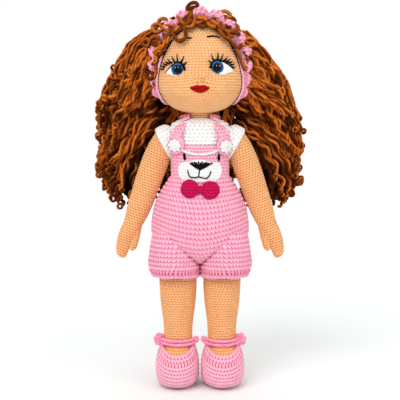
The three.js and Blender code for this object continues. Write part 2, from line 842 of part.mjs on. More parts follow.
function strapAndEar(side, name, clothLayer, chest, onPanel) {
  const inner = strap.middle - strap.halfWidth;
  const outer = strap.middle + strap.halfWidth;
  const low = waistHeight + gap;
  const reach = pivotX;
  const frontLow = waistHeight + bib.topRise + gap;
  const ribbon = side > 0
    ? boxSolid(inner, -reach, low, outer, reach, crownHeight + reach)
    : boxSolid(-outer, -reach, low, -inner, reach, crownHeight + reach);
  const belowBib = boxSolid(-reach, -reach, low - overrun, reach, 0, frontLow);
  const place = earHit(side, chest);
  const disc = uprightRod(badge.earRadius, 0, badge.earThick, limbSides);
  const puff = new THREE.SphereGeometry(badge.puffRadius, smallSides, threadSides + 1).scale(1, 1, 0.8);
  const ear = solidOf(setOn(disc, place, gap - badge.earTuck)).subtract(onPanel);
  const puffLift = gap - badge.earTuck + badge.earThick;
  const aboveEar = uprightRod(badge.earRadius * 1.2, -overrun, badge.earThick + gap, limbSides);
  const ball = solidOf(setOn(puff.rotateX(Math.PI / 2), place, puffLift + gap));
  return [
    piece(`strap_${name}`, clothLayer.intersect(ribbon).subtract(belowBib), finish.pink),
    piece(`bear_ear_${name}`, ear, finish.pink),
    piece(
      `ear_puff_${name}`,
      ball.subtract(solidOf(setOn(aboveEar, place, gap - badge.earTuck))),
      finish.white,
    ),
  ];
}

function noseOutline() {
  const top = waistHeight + badge.noseTopRise;
  return [
    new THREE.Vector2(-badge.noseHalfWidth, top),
    new THREE.Vector2(-badge.noseHalfWidth * 0.2, top - badge.noseHeight),
    new THREE.Vector2(badge.noseHalfWidth * 0.2, top - badge.noseHeight),
    new THREE.Vector2(badge.noseHalfWidth, top),
    new THREE.Vector2(badge.noseHalfWidth * 0.5, top + badge.noseHeight * 0.12),
    new THREE.Vector2(-badge.noseHalfWidth * 0.5, top + badge.noseHeight * 0.12),
  ];
}

// Two curves that meet below the nose, as one thick line
function mouthOutline() {
  const top = waistHeight + badge.noseTopRise - badge.noseHeight - gap;
  const low = top - badge.mouthDrop;
  const wide = badge.mouthHalfWidth;
  const thick = badge.mouthThick;
  return [
    new THREE.Vector2(-thick / 2, top),
    new THREE.Vector2(-thick / 2, low + thick),
    new THREE.Vector2(-wide * 0.8, low + thick),
    new THREE.Vector2(-wide + thick, top),
    new THREE.Vector2(-wide, top),
    new THREE.Vector2(-wide * 0.86, low),
    new THREE.Vector2(wide * 0.86, low),
    new THREE.Vector2(wide, top),
    new THREE.Vector2(wide - thick, top),
    new THREE.Vector2(wide * 0.8, low + thick),
    new THREE.Vector2(thick / 2, low + thick),
    new THREE.Vector2(thick / 2, top),
  ];
}

function bowPieces(carrier) {
  const hit = frontHit(carrier, 0, waistHeight - bow.drop);
  const clear = grownSolid(carrier, gap);
  const lobe = uprightRod(bow.lobeRadius, 0, bow.thick, limbSides);
  const bar = boxBetween(
    new THREE.Vector3(-bow.lobeX, -bow.knotHalfHeight, 0),
    new THREE.Vector3(bow.lobeX, bow.knotHalfHeight, bow.thick),
  );
  const lobes = bothSides(solidOf(lobe.translate(bow.lobeX, 0, 0))).add(solidOf(bar));
  const knot = new THREE.SphereGeometry(1, smallSides, threadSides);
  knot.scale(bow.knotHalfWidth, bow.knotHalfHeight, bow.knotThick);
  const above = boxBetween(
    new THREE.Vector3(-bow.lobeX * 2, -bow.lobeRadius, -overrun),
    new THREE.Vector3(bow.lobeX * 2, bow.lobeRadius, bow.thick + gap),
  );
  const onForm = (geometry, lift) => solidOf(setOn(geometry, hit, gap + lift));
  const panel = grownSolid(trunk, bibLift + gap);
  return [
    piece('bow', onForm(geometryOf(lobes), 0).subtract(clear).subtract(panel), finish.crimson),
    piece('bow_knot', onForm(knot, bow.thick).subtract(onForm(above, 0)), finish.crimson),
  ];
}

// Head, in the doll's own place
function eyeX(side) {
  return side * face.eyeHalfSpacing - face.eyeGaze;
}

function eyeHit(side) {
  return frontHit(skull, eyeX(side), headBase + face.eyeHeight);
}

// The eye, its post and its washer all lie along one straight line through the skin
function eyeParts(side, lift) {
  const hit = eyeHit(side);
  const dome = new THREE.SphereGeometry(face.eyeRadius, limbSides, smallSides);
  dome.scale(1, 1, face.eyeDome / face.eyeRadius);
  const front = solidOf(dome).intersect(boxSolid(
    -overrun - face.eyeRadius, -overrun - face.eyeRadius, 0,
    overrun + face.eyeRadius, overrun + face.eyeRadius, face.eyeDome + overrun,
  ));
  const postEnd = -face.postLength - lift;
  const post = solidOf(uprightRod(face.postRadius + lift, postEnd, face.eyeDome / 2, threadSides + 2));
  const washerTop = -skinWall - 2 * gap - feltWall;
  const washer = uprightRod(face.washerRadius + lift, washerTop - face.washerThick - lift, washerTop + lift);
  const onFace = (solid) => solidOf(setOn(geometryOf(solid), hit, gap + feltWall));
  return {
    eye: onFace(front.add(post)),
    post: onFace(post),
    washer: onFace(solidOf(washer)),
  };
}

function facePunch(outline) {
  return punch(outline, -head.halfDepth * 2, -head.halfDepth * 0.1);
}

function whiteOutline(side) {
  const x = eyeX(side);
  const z = headBase + face.eyeHeight;
  const reach = face.whiteReach + side * face.eyeGaze;
  return [
    new THREE.Vector2(x + side * face.eyeRadius * 0.3, z + face.eyeRadius * 0.8),
    new THREE.Vector2(x + side * reach, z - face.whiteDrop),
    new THREE.Vector2(x + side * face.eyeRadius * 0.5, z - face.eyeRadius * 0.95),
  ];
}

// A row of spikes over the eye
function lashOutline(side) {
  const x = eyeX(side);
  const z = headBase + face.eyeHeight;
  const low = face.eyeRadius + gap;
  const outer = [];
  const inner = [];
  const steps = face.lashSpikes * 2;
  for (let step = 0; step <= steps; step += 1) {
    const angle = THREE.MathUtils.degToRad(38 + 104 * step / steps);
    const spike = step % 2 ? face.lashLength : face.lashLength * 0.25;
    const reach = low + feltWall + spike;
    outer.push(new THREE.Vector2(x + side * reach * Math.cos(angle), z + reach * Math.sin(angle)));
    inner.unshift(new THREE.Vector2(x + side * low * Math.cos(angle), z + low * Math.sin(angle)));
  }
  return outer.concat(inner);
}

function lipOutline() {
  const z = headBase + face.lipHeight;
  const wide = face.lipHalfWidth;
  const high = face.lipHalfHeight;
  return [
    new THREE.Vector2(-wide, z + high * 0.1),
    new THREE.Vector2(-wide * 0.5, z - high * 0.75),
    new THREE.Vector2(0, z - high),
    new THREE.Vector2(wide * 0.5, z - high * 0.75),
    new THREE.Vector2(wide, z + high * 0.1),
    new THREE.Vector2(wide * 0.3, z + high),
    new THREE.Vector2(0, z + high * 0.55),
    new THREE.Vector2(-wide * 0.3, z + high),
  ];
}

function headPieces() {
  const felt = layer(skull, gap, gap + feltWall);
  const bore = dowelSolid(gap);
  let skin = solidOf(skull).subtract(grownSolid(skull, -skinWall)).subtract(bore);
  let fill = grownSolid(skull, -skinWall - gap).subtract(bore);
  const pieces = [];
  for (const side of [-1, 1]) {
    const name = side > 0 ? 'left' : 'right';
    const made = eyeParts(side, 0);
    const cut = eyeParts(side, gap);
    skin = skin.subtract(cut.post);
    fill = fill.subtract(cut.post).subtract(cut.washer);
    const hit = eyeHit(side);
    const socket = solidOf(setOn(
      uprightRod(face.eyeRadius + gap, -overrun, overrun, limbSides), hit, 0,
    ));
    const white = felt.intersect(facePunch(whiteOutline(side))).subtract(socket);
    const lash = felt.intersect(facePunch(lashOutline(side))).subtract(socket);
    const whiteCut = grownSolid(geometryOf(mainBody(facePunch(whiteOutline(side)))), gap);
    pieces.push(
      piece(`eye_${name}`, made.eye.subtract(grownSolid(skull, 0).subtract(cut.post)), finish.eye),
      piece(`eye_washer_${name}`, made.washer.subtract(cut.post).subtract(skin), finish.washer),
      piece(`eye_white_${name}`, white, finish.white),
      piece(`lashes_${name}`, lash.subtract(whiteCut), finish.black),
      piece(`eyebrow_${name}`, browTube(side), finish.black),
    );
  }
  pieces.unshift(piece('head_skin', skin, finish.skin), piece('head_stuffing', fill, finish.stuffing));
  pieces.push(piece('lips', felt.intersect(facePunch(lipOutline())), finish.lip));
  return pieces;
}

function browTube(side) {
  const route = Array.from({ length: pathSteps - 1 }, (_, i) => {
    const across = 2 * i / (pathSteps - 2) - 1;
    const x = side * (face.browX + across * face.browHalfSpan);
    const hit = frontHit(skull, x, headBase + browHeight);
    return hit.point.addScaledVector(hit.normal, gap + face.browThick / 2);
  });
  return solidOf(tube(route, face.browThick / 2, 6)).subtract(grownSolid(skull, gap));
}

// Everything above and behind the hairline, on the side that the cap covers
function capRegion(lift) {
  const reach = head.halfWidth * 3;
  const outline = [
    new THREE.Vector2(-reach, headBase + cap.edgeHeight + reach * cap.edgeSlope + lift),
    new THREE.Vector2(reach, headBase + cap.edgeHeight - reach * cap.edgeSlope + lift),
    new THREE.Vector2(reach, headBase + cap.edgeHeight + reach * 3),
    new THREE.Vector2(-reach, headBase + cap.edgeHeight + reach * 3),
  ];
  const geometry = new THREE.ExtrudeGeometry(new THREE.Shape(outline), {
    depth: 2 * reach,
    bevelEnabled: false,
  });
  return solidOf(geometry.rotateX(Math.PI / 2).rotateZ(Math.PI / 2).translate(-reach, 0, 0));
}

// The slab that the headband lies in, with its strap round the nape
function bandRegion(lift) {
  const reach = head.halfWidth * 2;
  const slab = boxBetween(
    new THREE.Vector3(
      -reach,
      -band.halfWidth - lift,
      band.napeHeight - head.height / 2 - band.halfWidth - lift,
    ),
    new THREE.Vector3(reach, band.halfWidth + lift, reach),
  );
  slab.rotateX(THREE.MathUtils.degToRad(band.leanDegrees));
  slab.translate(0, -band.forward, headBase + head.height / 2);
  const nape = boxSolid(
    -reach, 0, headBase + band.napeHeight - band.halfWidth - lift,
    reach, reach, headBase + band.napeHeight + band.halfWidth + lift,
  );
  return solidOf(slab).add(nape);
}

// The frill: one upright strip over the head whose outer edge rises and falls once for each scallop
function frillSolid() {
  const lean = THREE.MathUtils.degToRad(band.leanDegrees);
  const centre = new THREE.Vector3(0, -band.forward, headBase + head.height / 2);
  const across = new THREE.Vector3(1, 0, 0);
  const front = new THREE.Vector3(0, -1, 0).applyAxisAngle(across, lean);
  const steps = band.scallops * band.scallopSteps;
  return solidOf(loft(Array.from({ length: steps + 1 }, (_, step) => {
    const angle = THREE.MathUtils.degToRad((step / steps - 0.5) * band.frillSpanDegrees);
    const direction = new THREE.Vector3(Math.sin(angle), 0, Math.cos(angle)).applyAxisAngle(across, lean);
    const hit = surfaceHit(skull, centre, direction);
    const foot = hit.point.addScaledVector(direction, bandLift - band.wall / 2);
    const swell = Math.abs(Math.sin(step / band.scallopSteps * Math.PI));
    const reach = band.wall / 2 + band.frillReach * (0.35 + 0.65 * swell);
    const half = band.frillThick / 2;
    const corner = (out, along) => foot.clone().addScaledVector(direction, out).addScaledVector(front, along);
    return [corner(0, half), corner(0, -half), corner(reach, -half), corner(reach, half)];
  })));
}

function headbandSolid() {
  const ring = layer(skull, hairBase, bandLift).intersect(bandRegion(0));
  return ring.add(frillSolid()).subtract(grownSolid(skull, hairBase));
}

// A rope of loops along the hairline, swelling once for each loop
function fringeSolid() {
  const steps = fringe.loops * fringe.stepsPerLoop;
  const centre = new THREE.Vector3(0, 0, headBase + cap.edgeHeight);
  const rings = Array.from({ length: steps + 1 }, (_, step) => {
    const angle = THREE.MathUtils.degToRad((step / steps - 0.5) * fringe.spanDegrees);
    const direction = new THREE.Vector3(Math.sin(angle), -Math.cos(angle), Math.cos(angle) * cap.edgeSlope);
    const fall = -Math.sin(angle) * cap.edgeSlope;
    const along = new THREE.Vector3(Math.cos(angle), Math.sin(angle), fall).normalize();
    const out = direction.normalize();
    const hit = surfaceHit(skull, centre, out);
    const radius = fringe.radius + fringe.loopDepth * Math.sin(step / fringe.stepsPerLoop * Math.PI) ** 2
      - fringe.loopDepth / 2;
    const middle = hit.point.addScaledVector(out, hairBase + fringe.radius);
    const side = new THREE.Vector3().crossVectors(along, out);
    return Array.from({ length: threadSides + 2 }, (_, i) => {
      const turn = i / (threadSides + 2) * 2 * Math.PI;
      return middle.clone()
        .addScaledVector(side, radius * Math.cos(turn))
        .addScaledVector(out, -radius * Math.sin(turn));
    });
  });
  return solidOf(loft(rings));
}

function sideHairForm() {
  // Below the jaw the hair hangs behind the arms
  const armBack = arm.upperHalfWidth + shirtLift + hair.clearOfArm;
  return stuffedForm(sideHairShares.map((share) => {
    const depth = share.thick * hair.sideHalfDepth;
    const middle = share.back * hair.sideHalfDepth;
    return {
      z: headBase + share.up * head.height,
      x: (share.inner + share.outer) / 2 * hair.sideReach,
      y: share.up < 0 ? Math.max(middle, armBack + depth) : middle,
      width: (share.outer - share.inner) / 2 * hair.sideReach,
      depth,
    };
  }), limbSides, 1);
}

function backHairForm() {
  return stuffedForm(backHairShares.map((share) => ({
    z: headBase + share.up * head.height,
    y: share.reach * hair.backReach - share.depth * hair.backDepth / 2,
    width: share.width * hair.backHalfWidth,
    depth: share.depth * hair.backDepth / 2,
  })), limbSides, 1);
}

function hairPieces() {
  const capSolid = layer(skull, gap, gap + cap.wall).intersect(capRegion(0));
  const headAndBand = grownSolid(skull, hairBase).add(
    grownSolid(skull, bandLift + band.frillReach + 2 * gap).intersect(bandRegion(gap)),
  );
  const back = solidOf(backHairForm()).subtract(headAndBand).intersect(behindBand());
  const backClear = grownSolid(backHairForm(), 4 * gap);
  const sideMass = solidOf(sideHairForm()).subtract(headAndBand).subtract(backClear).intersect(behindBand());
  const left = geometryOf(mainBody(sideMass));
  const bandSolid = headbandSolid();
  const bandClear = grownSolid(skull, bandLift + band.frillReach + 2 * gap).intersect(bandRegion(gap));
  return [
    piece('wig_cap', capSolid, finish.hair),
    piece('headband', bandSolid, finish.pink),
    piece(
      'hair_fringe',
      fringeSolid().subtract(bandClear).subtract(grownSolid(skull, hairBase)),
      finish.hair,
    ),
    piece('hair_left', left, finish.hair),
    piece('hair_right', mirrored(left), finish.hair),
    piece('hair_back', back, finish.hair),
  ];
}

// The space behind the headband's back face, at every height
function behindBand() {
  const reach = head.height * 4;
  const slab = boxBetween(
    new THREE.Vector3(-reach, band.halfWidth + gap, -reach),
    new THREE.Vector3(reach, reach, reach),
  );
  slab.rotateX(THREE.MathUtils.degToRad(band.leanDegrees));
  return solidOf(slab.translate(0, -band.forward, headBase + head.height / 2));
}

// Arms: cut flat beside the trunk, with a round neck that reaches through the armhole
function outsidePlane(lift) {
  const reach = arm.length * 2;
  return boxSolid(armPlane + lift, -reach, 0, reach, reach, reach + pivotHeight);
}

function armReach(form, lift) {
  return form.intersect(outsidePlane(lift));
}

function armPieces(side) {
  const name = side > 0 ? 'left' : 'right';
  const threadCut = shoulderThread(2 * gap);
  const whole = armReach(solidOf(armShape).add(solidOf(thumbForm())), 0).add(armNeck(0));
  const hollow = armReach(grownSolid(armShape, -skinWall), skinWall);
  const fill = armReach(grownSolid(armShape, -skinWall - gap), skinWall + gap);
  const hemTilt = THREE.MathUtils.degToRad(sleeve.hemTiltDegrees);
  const hemReach = arm.length;
  const hem = boxBetween(
    new THREE.Vector3(-hemReach, -hemReach, -hemReach),
    new THREE.Vector3(0, hemReach, hemReach),
  );
  hem.rotateY(hemTilt).translate(pivotX + sleeve.hemOutset - sleeve.hemDrop, 0, pivotHeight);
  const cuff = layer(armShape, gap, shirtLift).intersect(outsidePlane(0)).intersect(solidOf(hem));
  const parts = [
    [`arm_${name}_skin`, whole.subtract(hollow).subtract(threadCut), finish.skin],
    [`arm_${name}_stuffing`, fill.subtract(threadCut), finish.stuffing],
    [`sleeve_${name}`, cuff.subtract(armNeck(gap)), finish.white],
  ];
  const group = new THREE.Group();
  group.position.set(side * pivotX, 0, pivotHeight);
  for (const [label, solid, look] of parts) {
    const geometry = geometryOf(mainBody(solid)).translate(-pivotX, 0, -pivotHeight);
    group.add(piece(label, forSide(side, geometry), look));
  }
  return group;
}

// Legs: the foot fills the shoe above its insole
function insoleTop() {
  return shoe.wall + gap + shoe.insole;
}

function footSolid(shrink) {
  const reach = shoe.toeReach * 2;
  const above = boxSolid(-reach, -reach, insoleTop() + gap + shrink, reach, reach, reach + leg.hipHeight);
  const foot = solidOf(shoeForm(shoe.wall + 2 * gap + shrink));
  return solidOf(legForm(shrink)).add(foot).intersect(above);
}

// The room inside the shoe, from its sole up
function shoeRoom(shrink, height) {
  const reach = shoe.toeReach * 2;
  return solidOf(shoeForm(shrink, overrun)).intersect(boxSolid(-reach, -reach, shrink, reach, reach, height));
}

function mouthSolid() {
  const back = shoe.heelReach * 2;
  const front = shoe.mouthReach - shoe.mouthHalfWidth;
  const height = shoe.mouthHeight;
  const slot = boxSolid(
    shoe.outset - shoe.mouthHalfWidth, -front, height - shoe.mouthDepth,
    shoe.outset + shoe.mouthHalfWidth, 0, height + overrun,
  );
  const round = uprightRod(shoe.mouthHalfWidth, height - shoe.mouthDepth, height + overrun, limbSides);
  const clear = solidOf(round.clone().translate(shoe.outset, -front, 0));
  const well = solidOf(uprightRod(
    leg.ankleHalfWidth + gap, height - shoe.mouthDepth, height + back, limbSides,
  ));
  return slot.add(clear).add(well);
}

function flowerGeometry() {
  const lobes = shoe.flowerLobes;
  const steps = lobes * 4;
  const outline = Array.from({ length: steps }, (_, step) => {
    const angle = step / steps * 2 * Math.PI;
    const radius = shoe.flowerRadius * (0.8 + 0.2 * Math.abs(Math.sin(angle * lobes / 2)));
    return new THREE.Vector2(radius * Math.cos(angle), radius * Math.sin(angle));
  });
  const shape = new THREE.Shape(outline);
  const eyelet = new THREE.Path();
  eyelet.absarc(0, 0, shoe.flowerHole, 0, 2 * Math.PI, true);
  shape.holes.push(eyelet);
  return new THREE.ExtrudeGeometry(shape, { depth: shoe.flowerThick, bevelEnabled: false, curveSegments: 4 });
}

// The double cord across the instep, from the bead to the flower button
function strapSolid(calf) {
  const endX = leg.ankleHalfWidth + shoe.strapThick;
  const bareFoot = geometryOf(mainBody(calf));
  const half = shoe.strapThick / 2;
  const rings = [75, 50, 25, 0, -25, -50, -75].map((degrees) => {
    const angle = THREE.MathUtils.degToRad(degrees);
    const outwards = new THREE.Vector3(Math.sin(angle), -Math.cos(angle), 0);
    const hit = surfaceHit(bareFoot, new THREE.Vector3(0, 0, shoe.strapHeight), outwards);
    const middle = hit.point.addScaledVector(outwards, gap + half);
    return strapSectionShares.map(([out, up]) => middle.clone()
      .addScaledVector(outwards, out * half)
      .add(new THREE.Vector3(0, 0, up * shoe.strapThick)));
  });
  const bead = new THREE.SphereGeometry(shoe.beadRadius, smallSides, threadSides);
  bead.translate(-endX, -shoe.beadRadius, shoe.strapHeight);
  return solidOf(loft(rings)).add(solidOf(bead));
}

function legPieces(side, legCloth) {
  const name = side > 0 ? 'left' : 'right';
  const whole = footSolid(0);
  const opening = solidOf(uprightRod(leg.seamHalfDepth - skinWall, leg.hemHeight, seamHeight));
  const hollow = footSolid(skinWall).add(opening);
  const fill = footSolid(skinWall + gap);
  const shell = shoeForm();
  const clearLeg = grownSolid(legForm(), gap);
  const room = shoeRoom(shoe.wall, shoe.mouthHeight + overrun);
  const upper = solidOf(shell).subtract(room).subtract(mouthSolid()).subtract(clearLeg);
  const insole = shoeRoom(shoe.wall + gap, insoleTop());
  const strapCords = strapSolid(whole).subtract(solidOf(shell)).subtract(clearLeg);
  const flowerPlace = new THREE.Vector3(
    leg.ankleHalfWidth + shoe.strapThick + 2 * gap, -shoe.flowerRadius * 0.6, shoe.strapHeight,
  );
  const flower = flowerGeometry().rotateY(Math.PI / 2 - 0.35).translate(
    flowerPlace.x, flowerPlace.y, flowerPlace.z,
  );
  const clearStrap = grownSolid(geometryOf(mainBody(strapCords)), gap);
  const cloth = legCloth.clone().translate(leg.spacing, 0, 0);
  const parts = [
    [`leg_${name}_skin`, whole.subtract(hollow), finish.skin],
    [`leg_${name}_stuffing`, fill, finish.stuffing],
    [`insole_${name}`, insole, finish.insole],
    [`shoe_${name}`, upper, finish.pink],
    [`shoe_strap_${name}`, strapCords, finish.pink],
    [
      `shoe_flower_${name}`,
      solidOf(flower).subtract(clearStrap).subtract(grownSolid(shell, gap)),
      finish.pink,
    ],
  ];
  const group = new THREE.Group();
  group.position.set(side * leg.spacing, 0, 0);
  for (const [label, solid, look] of parts) {
    group.add(piece(label, forSide(side, geometryOf(mainBody(solid))), look));
  }
  group.add(piece(`romper_leg_${name}`, side > 0 ? mirrored(cloth) : cloth, finish.pink));
  return group;
}

// The doll
const doll = new THREE.Group();
const overalls = romperPieces();
doll.add(...torsoPieces());
doll.add(piece('romper_body', overalls.body, finish.pink));
doll.add(...bibPieces());
doll.add(...bowPieces(overalls.outer));
doll.add(...headPieces());
doll.add(...hairPieces());
for (const side of [-1, 1]) {
  doll.add(armPieces(side));
  doll.add(legPieces(side, overalls.legCloth));
}

// The origin is on the floor, under the middle of the doll's own box
doll.updateMatrixWorld(true);
const reachBox = new THREE.Box3().setFromObject(doll);
doll.position.set(
  -(reachBox.min.x + reachBox.max.x) / 2,
  -(reachBox.min.y + reachBox.max.y) / 2,
  -reachBox.min.z,
);

export default doll;
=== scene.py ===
"""Looks of a crocheted doll in shorts overalls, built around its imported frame.

Lengths in the tables are millimetres from the body's middle line, x to the doll's own left,
y to its back and z up from the floor. Meshes are written in metres in the row frame.
"""

import math

import bpy
import numpy as np
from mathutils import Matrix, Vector


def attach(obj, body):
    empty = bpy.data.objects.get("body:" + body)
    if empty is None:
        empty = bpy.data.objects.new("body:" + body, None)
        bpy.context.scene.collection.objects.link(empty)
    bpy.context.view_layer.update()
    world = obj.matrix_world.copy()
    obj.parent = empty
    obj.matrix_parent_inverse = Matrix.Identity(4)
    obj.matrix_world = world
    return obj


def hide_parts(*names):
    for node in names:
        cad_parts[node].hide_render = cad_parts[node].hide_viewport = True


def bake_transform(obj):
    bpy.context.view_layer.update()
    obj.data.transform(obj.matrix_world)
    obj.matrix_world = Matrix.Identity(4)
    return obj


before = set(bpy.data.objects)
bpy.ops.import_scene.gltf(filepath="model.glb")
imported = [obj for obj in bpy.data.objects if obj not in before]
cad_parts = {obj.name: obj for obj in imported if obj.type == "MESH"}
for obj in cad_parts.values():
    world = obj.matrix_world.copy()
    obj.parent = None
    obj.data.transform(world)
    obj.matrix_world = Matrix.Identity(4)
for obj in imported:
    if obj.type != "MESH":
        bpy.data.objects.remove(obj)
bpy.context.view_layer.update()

MM = 0.001
BODY_Y = -3.5  # the body's middle line in the row frame
SIDES = (("left", False), ("right", True))  # each pair's left piece is made, and mirrored for the right
rng = np.random.default_rng(7)


# Curves and forms
def unit(vectors):
    """The same directions, each one long."""
    return vectors / np.maximum(np.linalg.norm(vectors, axis=-1, keepdims=True), 1e-9)


def smooth_line(points, per_span=12, closed=False):
    """A Catmull-Rom line through points, as an array."""
    p = np.asarray(points, float)
    if closed:
        ends = np.vstack([p[-1], p, p[0], p[1]])
    else:
        ends = np.vstack([2 * p[0] - p[1], p, 2 * p[-1] - p[-2]])
    t = (np.arange(per_span) / per_span)[:, None]
    made = []
    for a, b, c, d in zip(ends, ends[1:], ends[2:], ends[3:]):
        made.append(0.5 * (2 * b + (c - a) * t + (2 * a - 5 * b + 4 * c - d) * t**2
                           + (3 * b - a - 3 * c + d) * t**3))
    if not closed:
        made.append(p[-1:])
    return np.vstack(made)


def walked(points, step):
    """The same line with its points evenly apart."""
    d = np.linalg.norm(np.diff(points, axis=0), axis=1)
    s = np.r_[0, np.cumsum(d)]
    count = max(3, int(round(s[-1] / step)) + 1)
    t = np.linspace(0, s[-1], count)
    return np.column_stack([np.interp(t, s, points[:, k]) for k in range(3)])


class Form:
    """A stuffed form through levels of height, half width, half depth and middle, low level first."""

    def __init__(self, levels):
        full = [list(level) + [0] * (5 - len(level)) for level in levels]
        self.table = smooth_line(full, 16)
        self.table[:, 1:3] = np.maximum(self.table[:, 1:3], 0.4)
        rise = np.diff(self.table[:, 0])
        swell = np.diff(self.table[:, 1:3].mean(axis=1))
        self.length = np.r_[0, np.cumsum(np.hypot(rise, swell))]

    def at(self, s):
        """Height, half width, half depth and middle at a reach along the surface."""
        return [np.interp(s, self.length, self.table[:, k]) for k in range(5)]

    def reach_of(self, z):
        """How far along the surface a height lies."""
        return np.interp(z, self.table[:, 0], self.length)

    def front(self, x, z, side=-1):
        """The y of the surface in front of, or with side 1 behind, a place seen from the front."""
        _, a, b, cx, cy = self.at(self.reach_of(z))
        return cy + side * b * np.sqrt(np.clip(1 - ((x - cx) / a) ** 2, 0, 1))


HEAD_BASE, HEAD_RISE, HEAD_WIDE, HEAD_DEEP = 258.8, 86.0, 39.0, 38.0
HEAD_SHARES = [  # height and radius in shares, from the chin to the crown
    (0, 0.10), (0.012, 0.36), (0.055, 0.63), (0.13, 0.83), (0.23, 0.965), (0.34, 1), (0.5, 0.955),
    (0.62, 0.885), (0.74, 0.775), (0.85, 0.62), (0.94, 0.42), (0.985, 0.2), (1, 0.05),
]
head_form = Form([(HEAD_BASE + h * HEAD_RISE, s * HEAD_WIDE, s * HEAD_DEEP) for h, s in HEAD_SHARES])
trunk_form = Form([
    (126.0, 32, 3.5), (134.7, 35, 18), (150.7, 36, 27), (173.2, 31.5, 24.5), (195.7, 24.9, 20.5),
    (224.7, 25, 20), (242.7, 26.3, 17.5), (247.7, 18, 13), (249.5, 10.4, 10.2), (252, 10.1, 10.1),
    (260, 10.1, 10.1),
])
PIVOT_X, PIVOT_Z, LEAN = 34.5, 236.7, math.radians(19)
arm_form = Form([
    (PIVOT_Z + z, wide, deep, across) for z, wide, deep, across in [
        (-122.2, 1.0, 1.0, 1.2), (-121.2, 3.4, 3.2, 1.2), (-117.6, 5.4, 5.4, 2.2), (-106.7, 7.0, 7.4, 3.2),
        (-97.0, 8.2, 8.2, 2.2), (-87.0, 8.9, 9.0, 0.8), (-71.0, 11.0, 10.8, 0.2), (-37.0, 12.4, 12.2, 0.0),
        (-16.0, 12.0, 12.0, -0.5), (0, 9.6, 10.8, -1.4), (6.0, 6.6, 8.2, -2.0), (9.2, 2.0, 2.6, -2.0)]
])
LEG_X = 21.0
leg_form = Form([
    (4, 13.4, 13.4, LEG_X), (46, 13.4, 13.4, LEG_X), (60, 14.2, 14.2, LEG_X), (80, 16.7, 16.7, LEG_X),
    (101, 17.7, 15.8, LEG_X), (121.9, 16.6, 6, LEG_X),
])
shirt_form = Form([
    (180.0, 27, 22), (195.7, 24.9, 20.5), (224.7, 25.4, 20), (240.0, 26.6, 17.8), (246.4, 24.8, 15.4),
    (249.4, 20.0, 13.4), (251.0, 15.0, 11.8), (252.0, 11.4, 10.8), (253.4, 10.6, 10.4),
])
romper_form = Form([
    (115.5, 20, 10), (119.6, 32, 18.5), (126.0, 41, 26.6), (134.7, 45.2, 31.6), (150.7, 46.2, 34.0),
    (162, 45.0, 33.6), (173.2, 42.6, 32.2), (186.7, 36.2, 29.0), (195.7, 30.2, 25.6), (199, 29.6, 25.2),
])
short_leg_form = Form([
    (103.8, 22.4, 22.4, LEG_X + 1.4, -0.4), (106.5, 23.4, 24.2, LEG_X + 2.2, -0.6),
    (110.5, 24.1, 25.8, LEG_X + 2.9, -0.9), (117, 24.7, 26.9, LEG_X + 3.7, -1.4),
    (126, 24.0, 28.2, LEG_X + 3.2, -2.0), (138, 23.2, 28.8, LEG_X + 2.2, -2.0),
    (147, 22.0, 27.0, LEG_X + 1.2, -1.2), (153, 19.6, 24.4, LEG_X + 0.6, 0), (158, 16.0, 20, LEG_X, 0),
])


# Meshes
def outward(points, closed=True):
    """Unit normals of a grid whose columns run anticlockwise and rows upwards."""
    if closed:
        across = np.roll(points, -1, 1) - np.roll(points, 1, 1)
    else:
        across = np.gradient(points, axis=1)
    along = np.gradient(points, axis=0)
    return unit(np.cross(across, along))


def piece(name, verts, faces, uvs, look, body, replaced=(), mirror=False, tone=None):
    """A finished piece from points in millimetres; faces is a list of index arrays, each of one size."""
    verts = np.array(verts, float)
    verts[:, 1] += BODY_Y
    if mirror:
        verts[:, 0] *= -1
        faces = [f[:, ::-1] for f in faces]
        uvs = [u[:, ::-1] for u in uvs]
    mesh = bpy.data.meshes.new(name)
    mesh.from_pydata((verts * MM).tolist(), [], [row for f in faces for row in f.tolist()])
    layer = mesh.uv_layers.new(name="stitches")
    layer.data.foreach_set("uv", np.concatenate([u.reshape(-1) for u in uvs]).astype(np.float32))
    if tone is not None:
        mesh.attributes.new("tone", "FLOAT", "POINT").data.foreach_set("value", tone.astype(np.float32))
    mesh.polygons.foreach_set("use_smooth", np.ones(len(mesh.polygons), bool))
    mesh.materials.append(look)
    made = bpy.data.objects.new(name, mesh)
    bpy.context.scene.collection.objects.link(made)
    finish_piece(made, body, replaced)
    return made


def finish_piece(made, body, replaced=()):
    """Hangs a piece on the body that carries it, or fixes it in place where it lies between two, and hides
    what it stands for.
    """
    if isinstance(body, str):
        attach(made, body)
    else:
        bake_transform(made)
    if replaced:
        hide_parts(*replaced)


def frame_point(x, y, z):
    """A place in millimetres from the body's middle line, as metres in the row frame."""
    return (x * MM, (y + BODY_Y) * MM, z * MM)


def grid_faces(rows, cols, closed=True):
    """The four-sided faces of a grid of points, with the row and column that each starts from."""
    i, j = np.meshgrid(np.arange(rows - 1), np.arange(cols if closed else cols - 1), indexing="ij")
    i, j = i.ravel(), j.ravel()
    k = (j + 1) % cols
    return np.column_stack([i * cols + j, i * cols + k, (i + 1) * cols + k, (i + 1) * cols + j]), i, j


def corner_uvs(left, right, low, high):
    """Stitch coordinates at the corners of each face, from the low left corner anticlockwise."""
    left, right, low, high = np.broadcast_arrays(left, right, low, high)
    corners = ((left, low), (right, low), (right, high), (left, high))
    return np.stack([np.column_stack(corner) for corner in corners], axis=1)


def beside(line, first, by_first, second, by_second):
    """A section's points along a line, each moved off it by two measures in two directions."""
    return line[:, None] + first[:, None] * by_first[..., None] + second[:, None] * by_second[..., None]


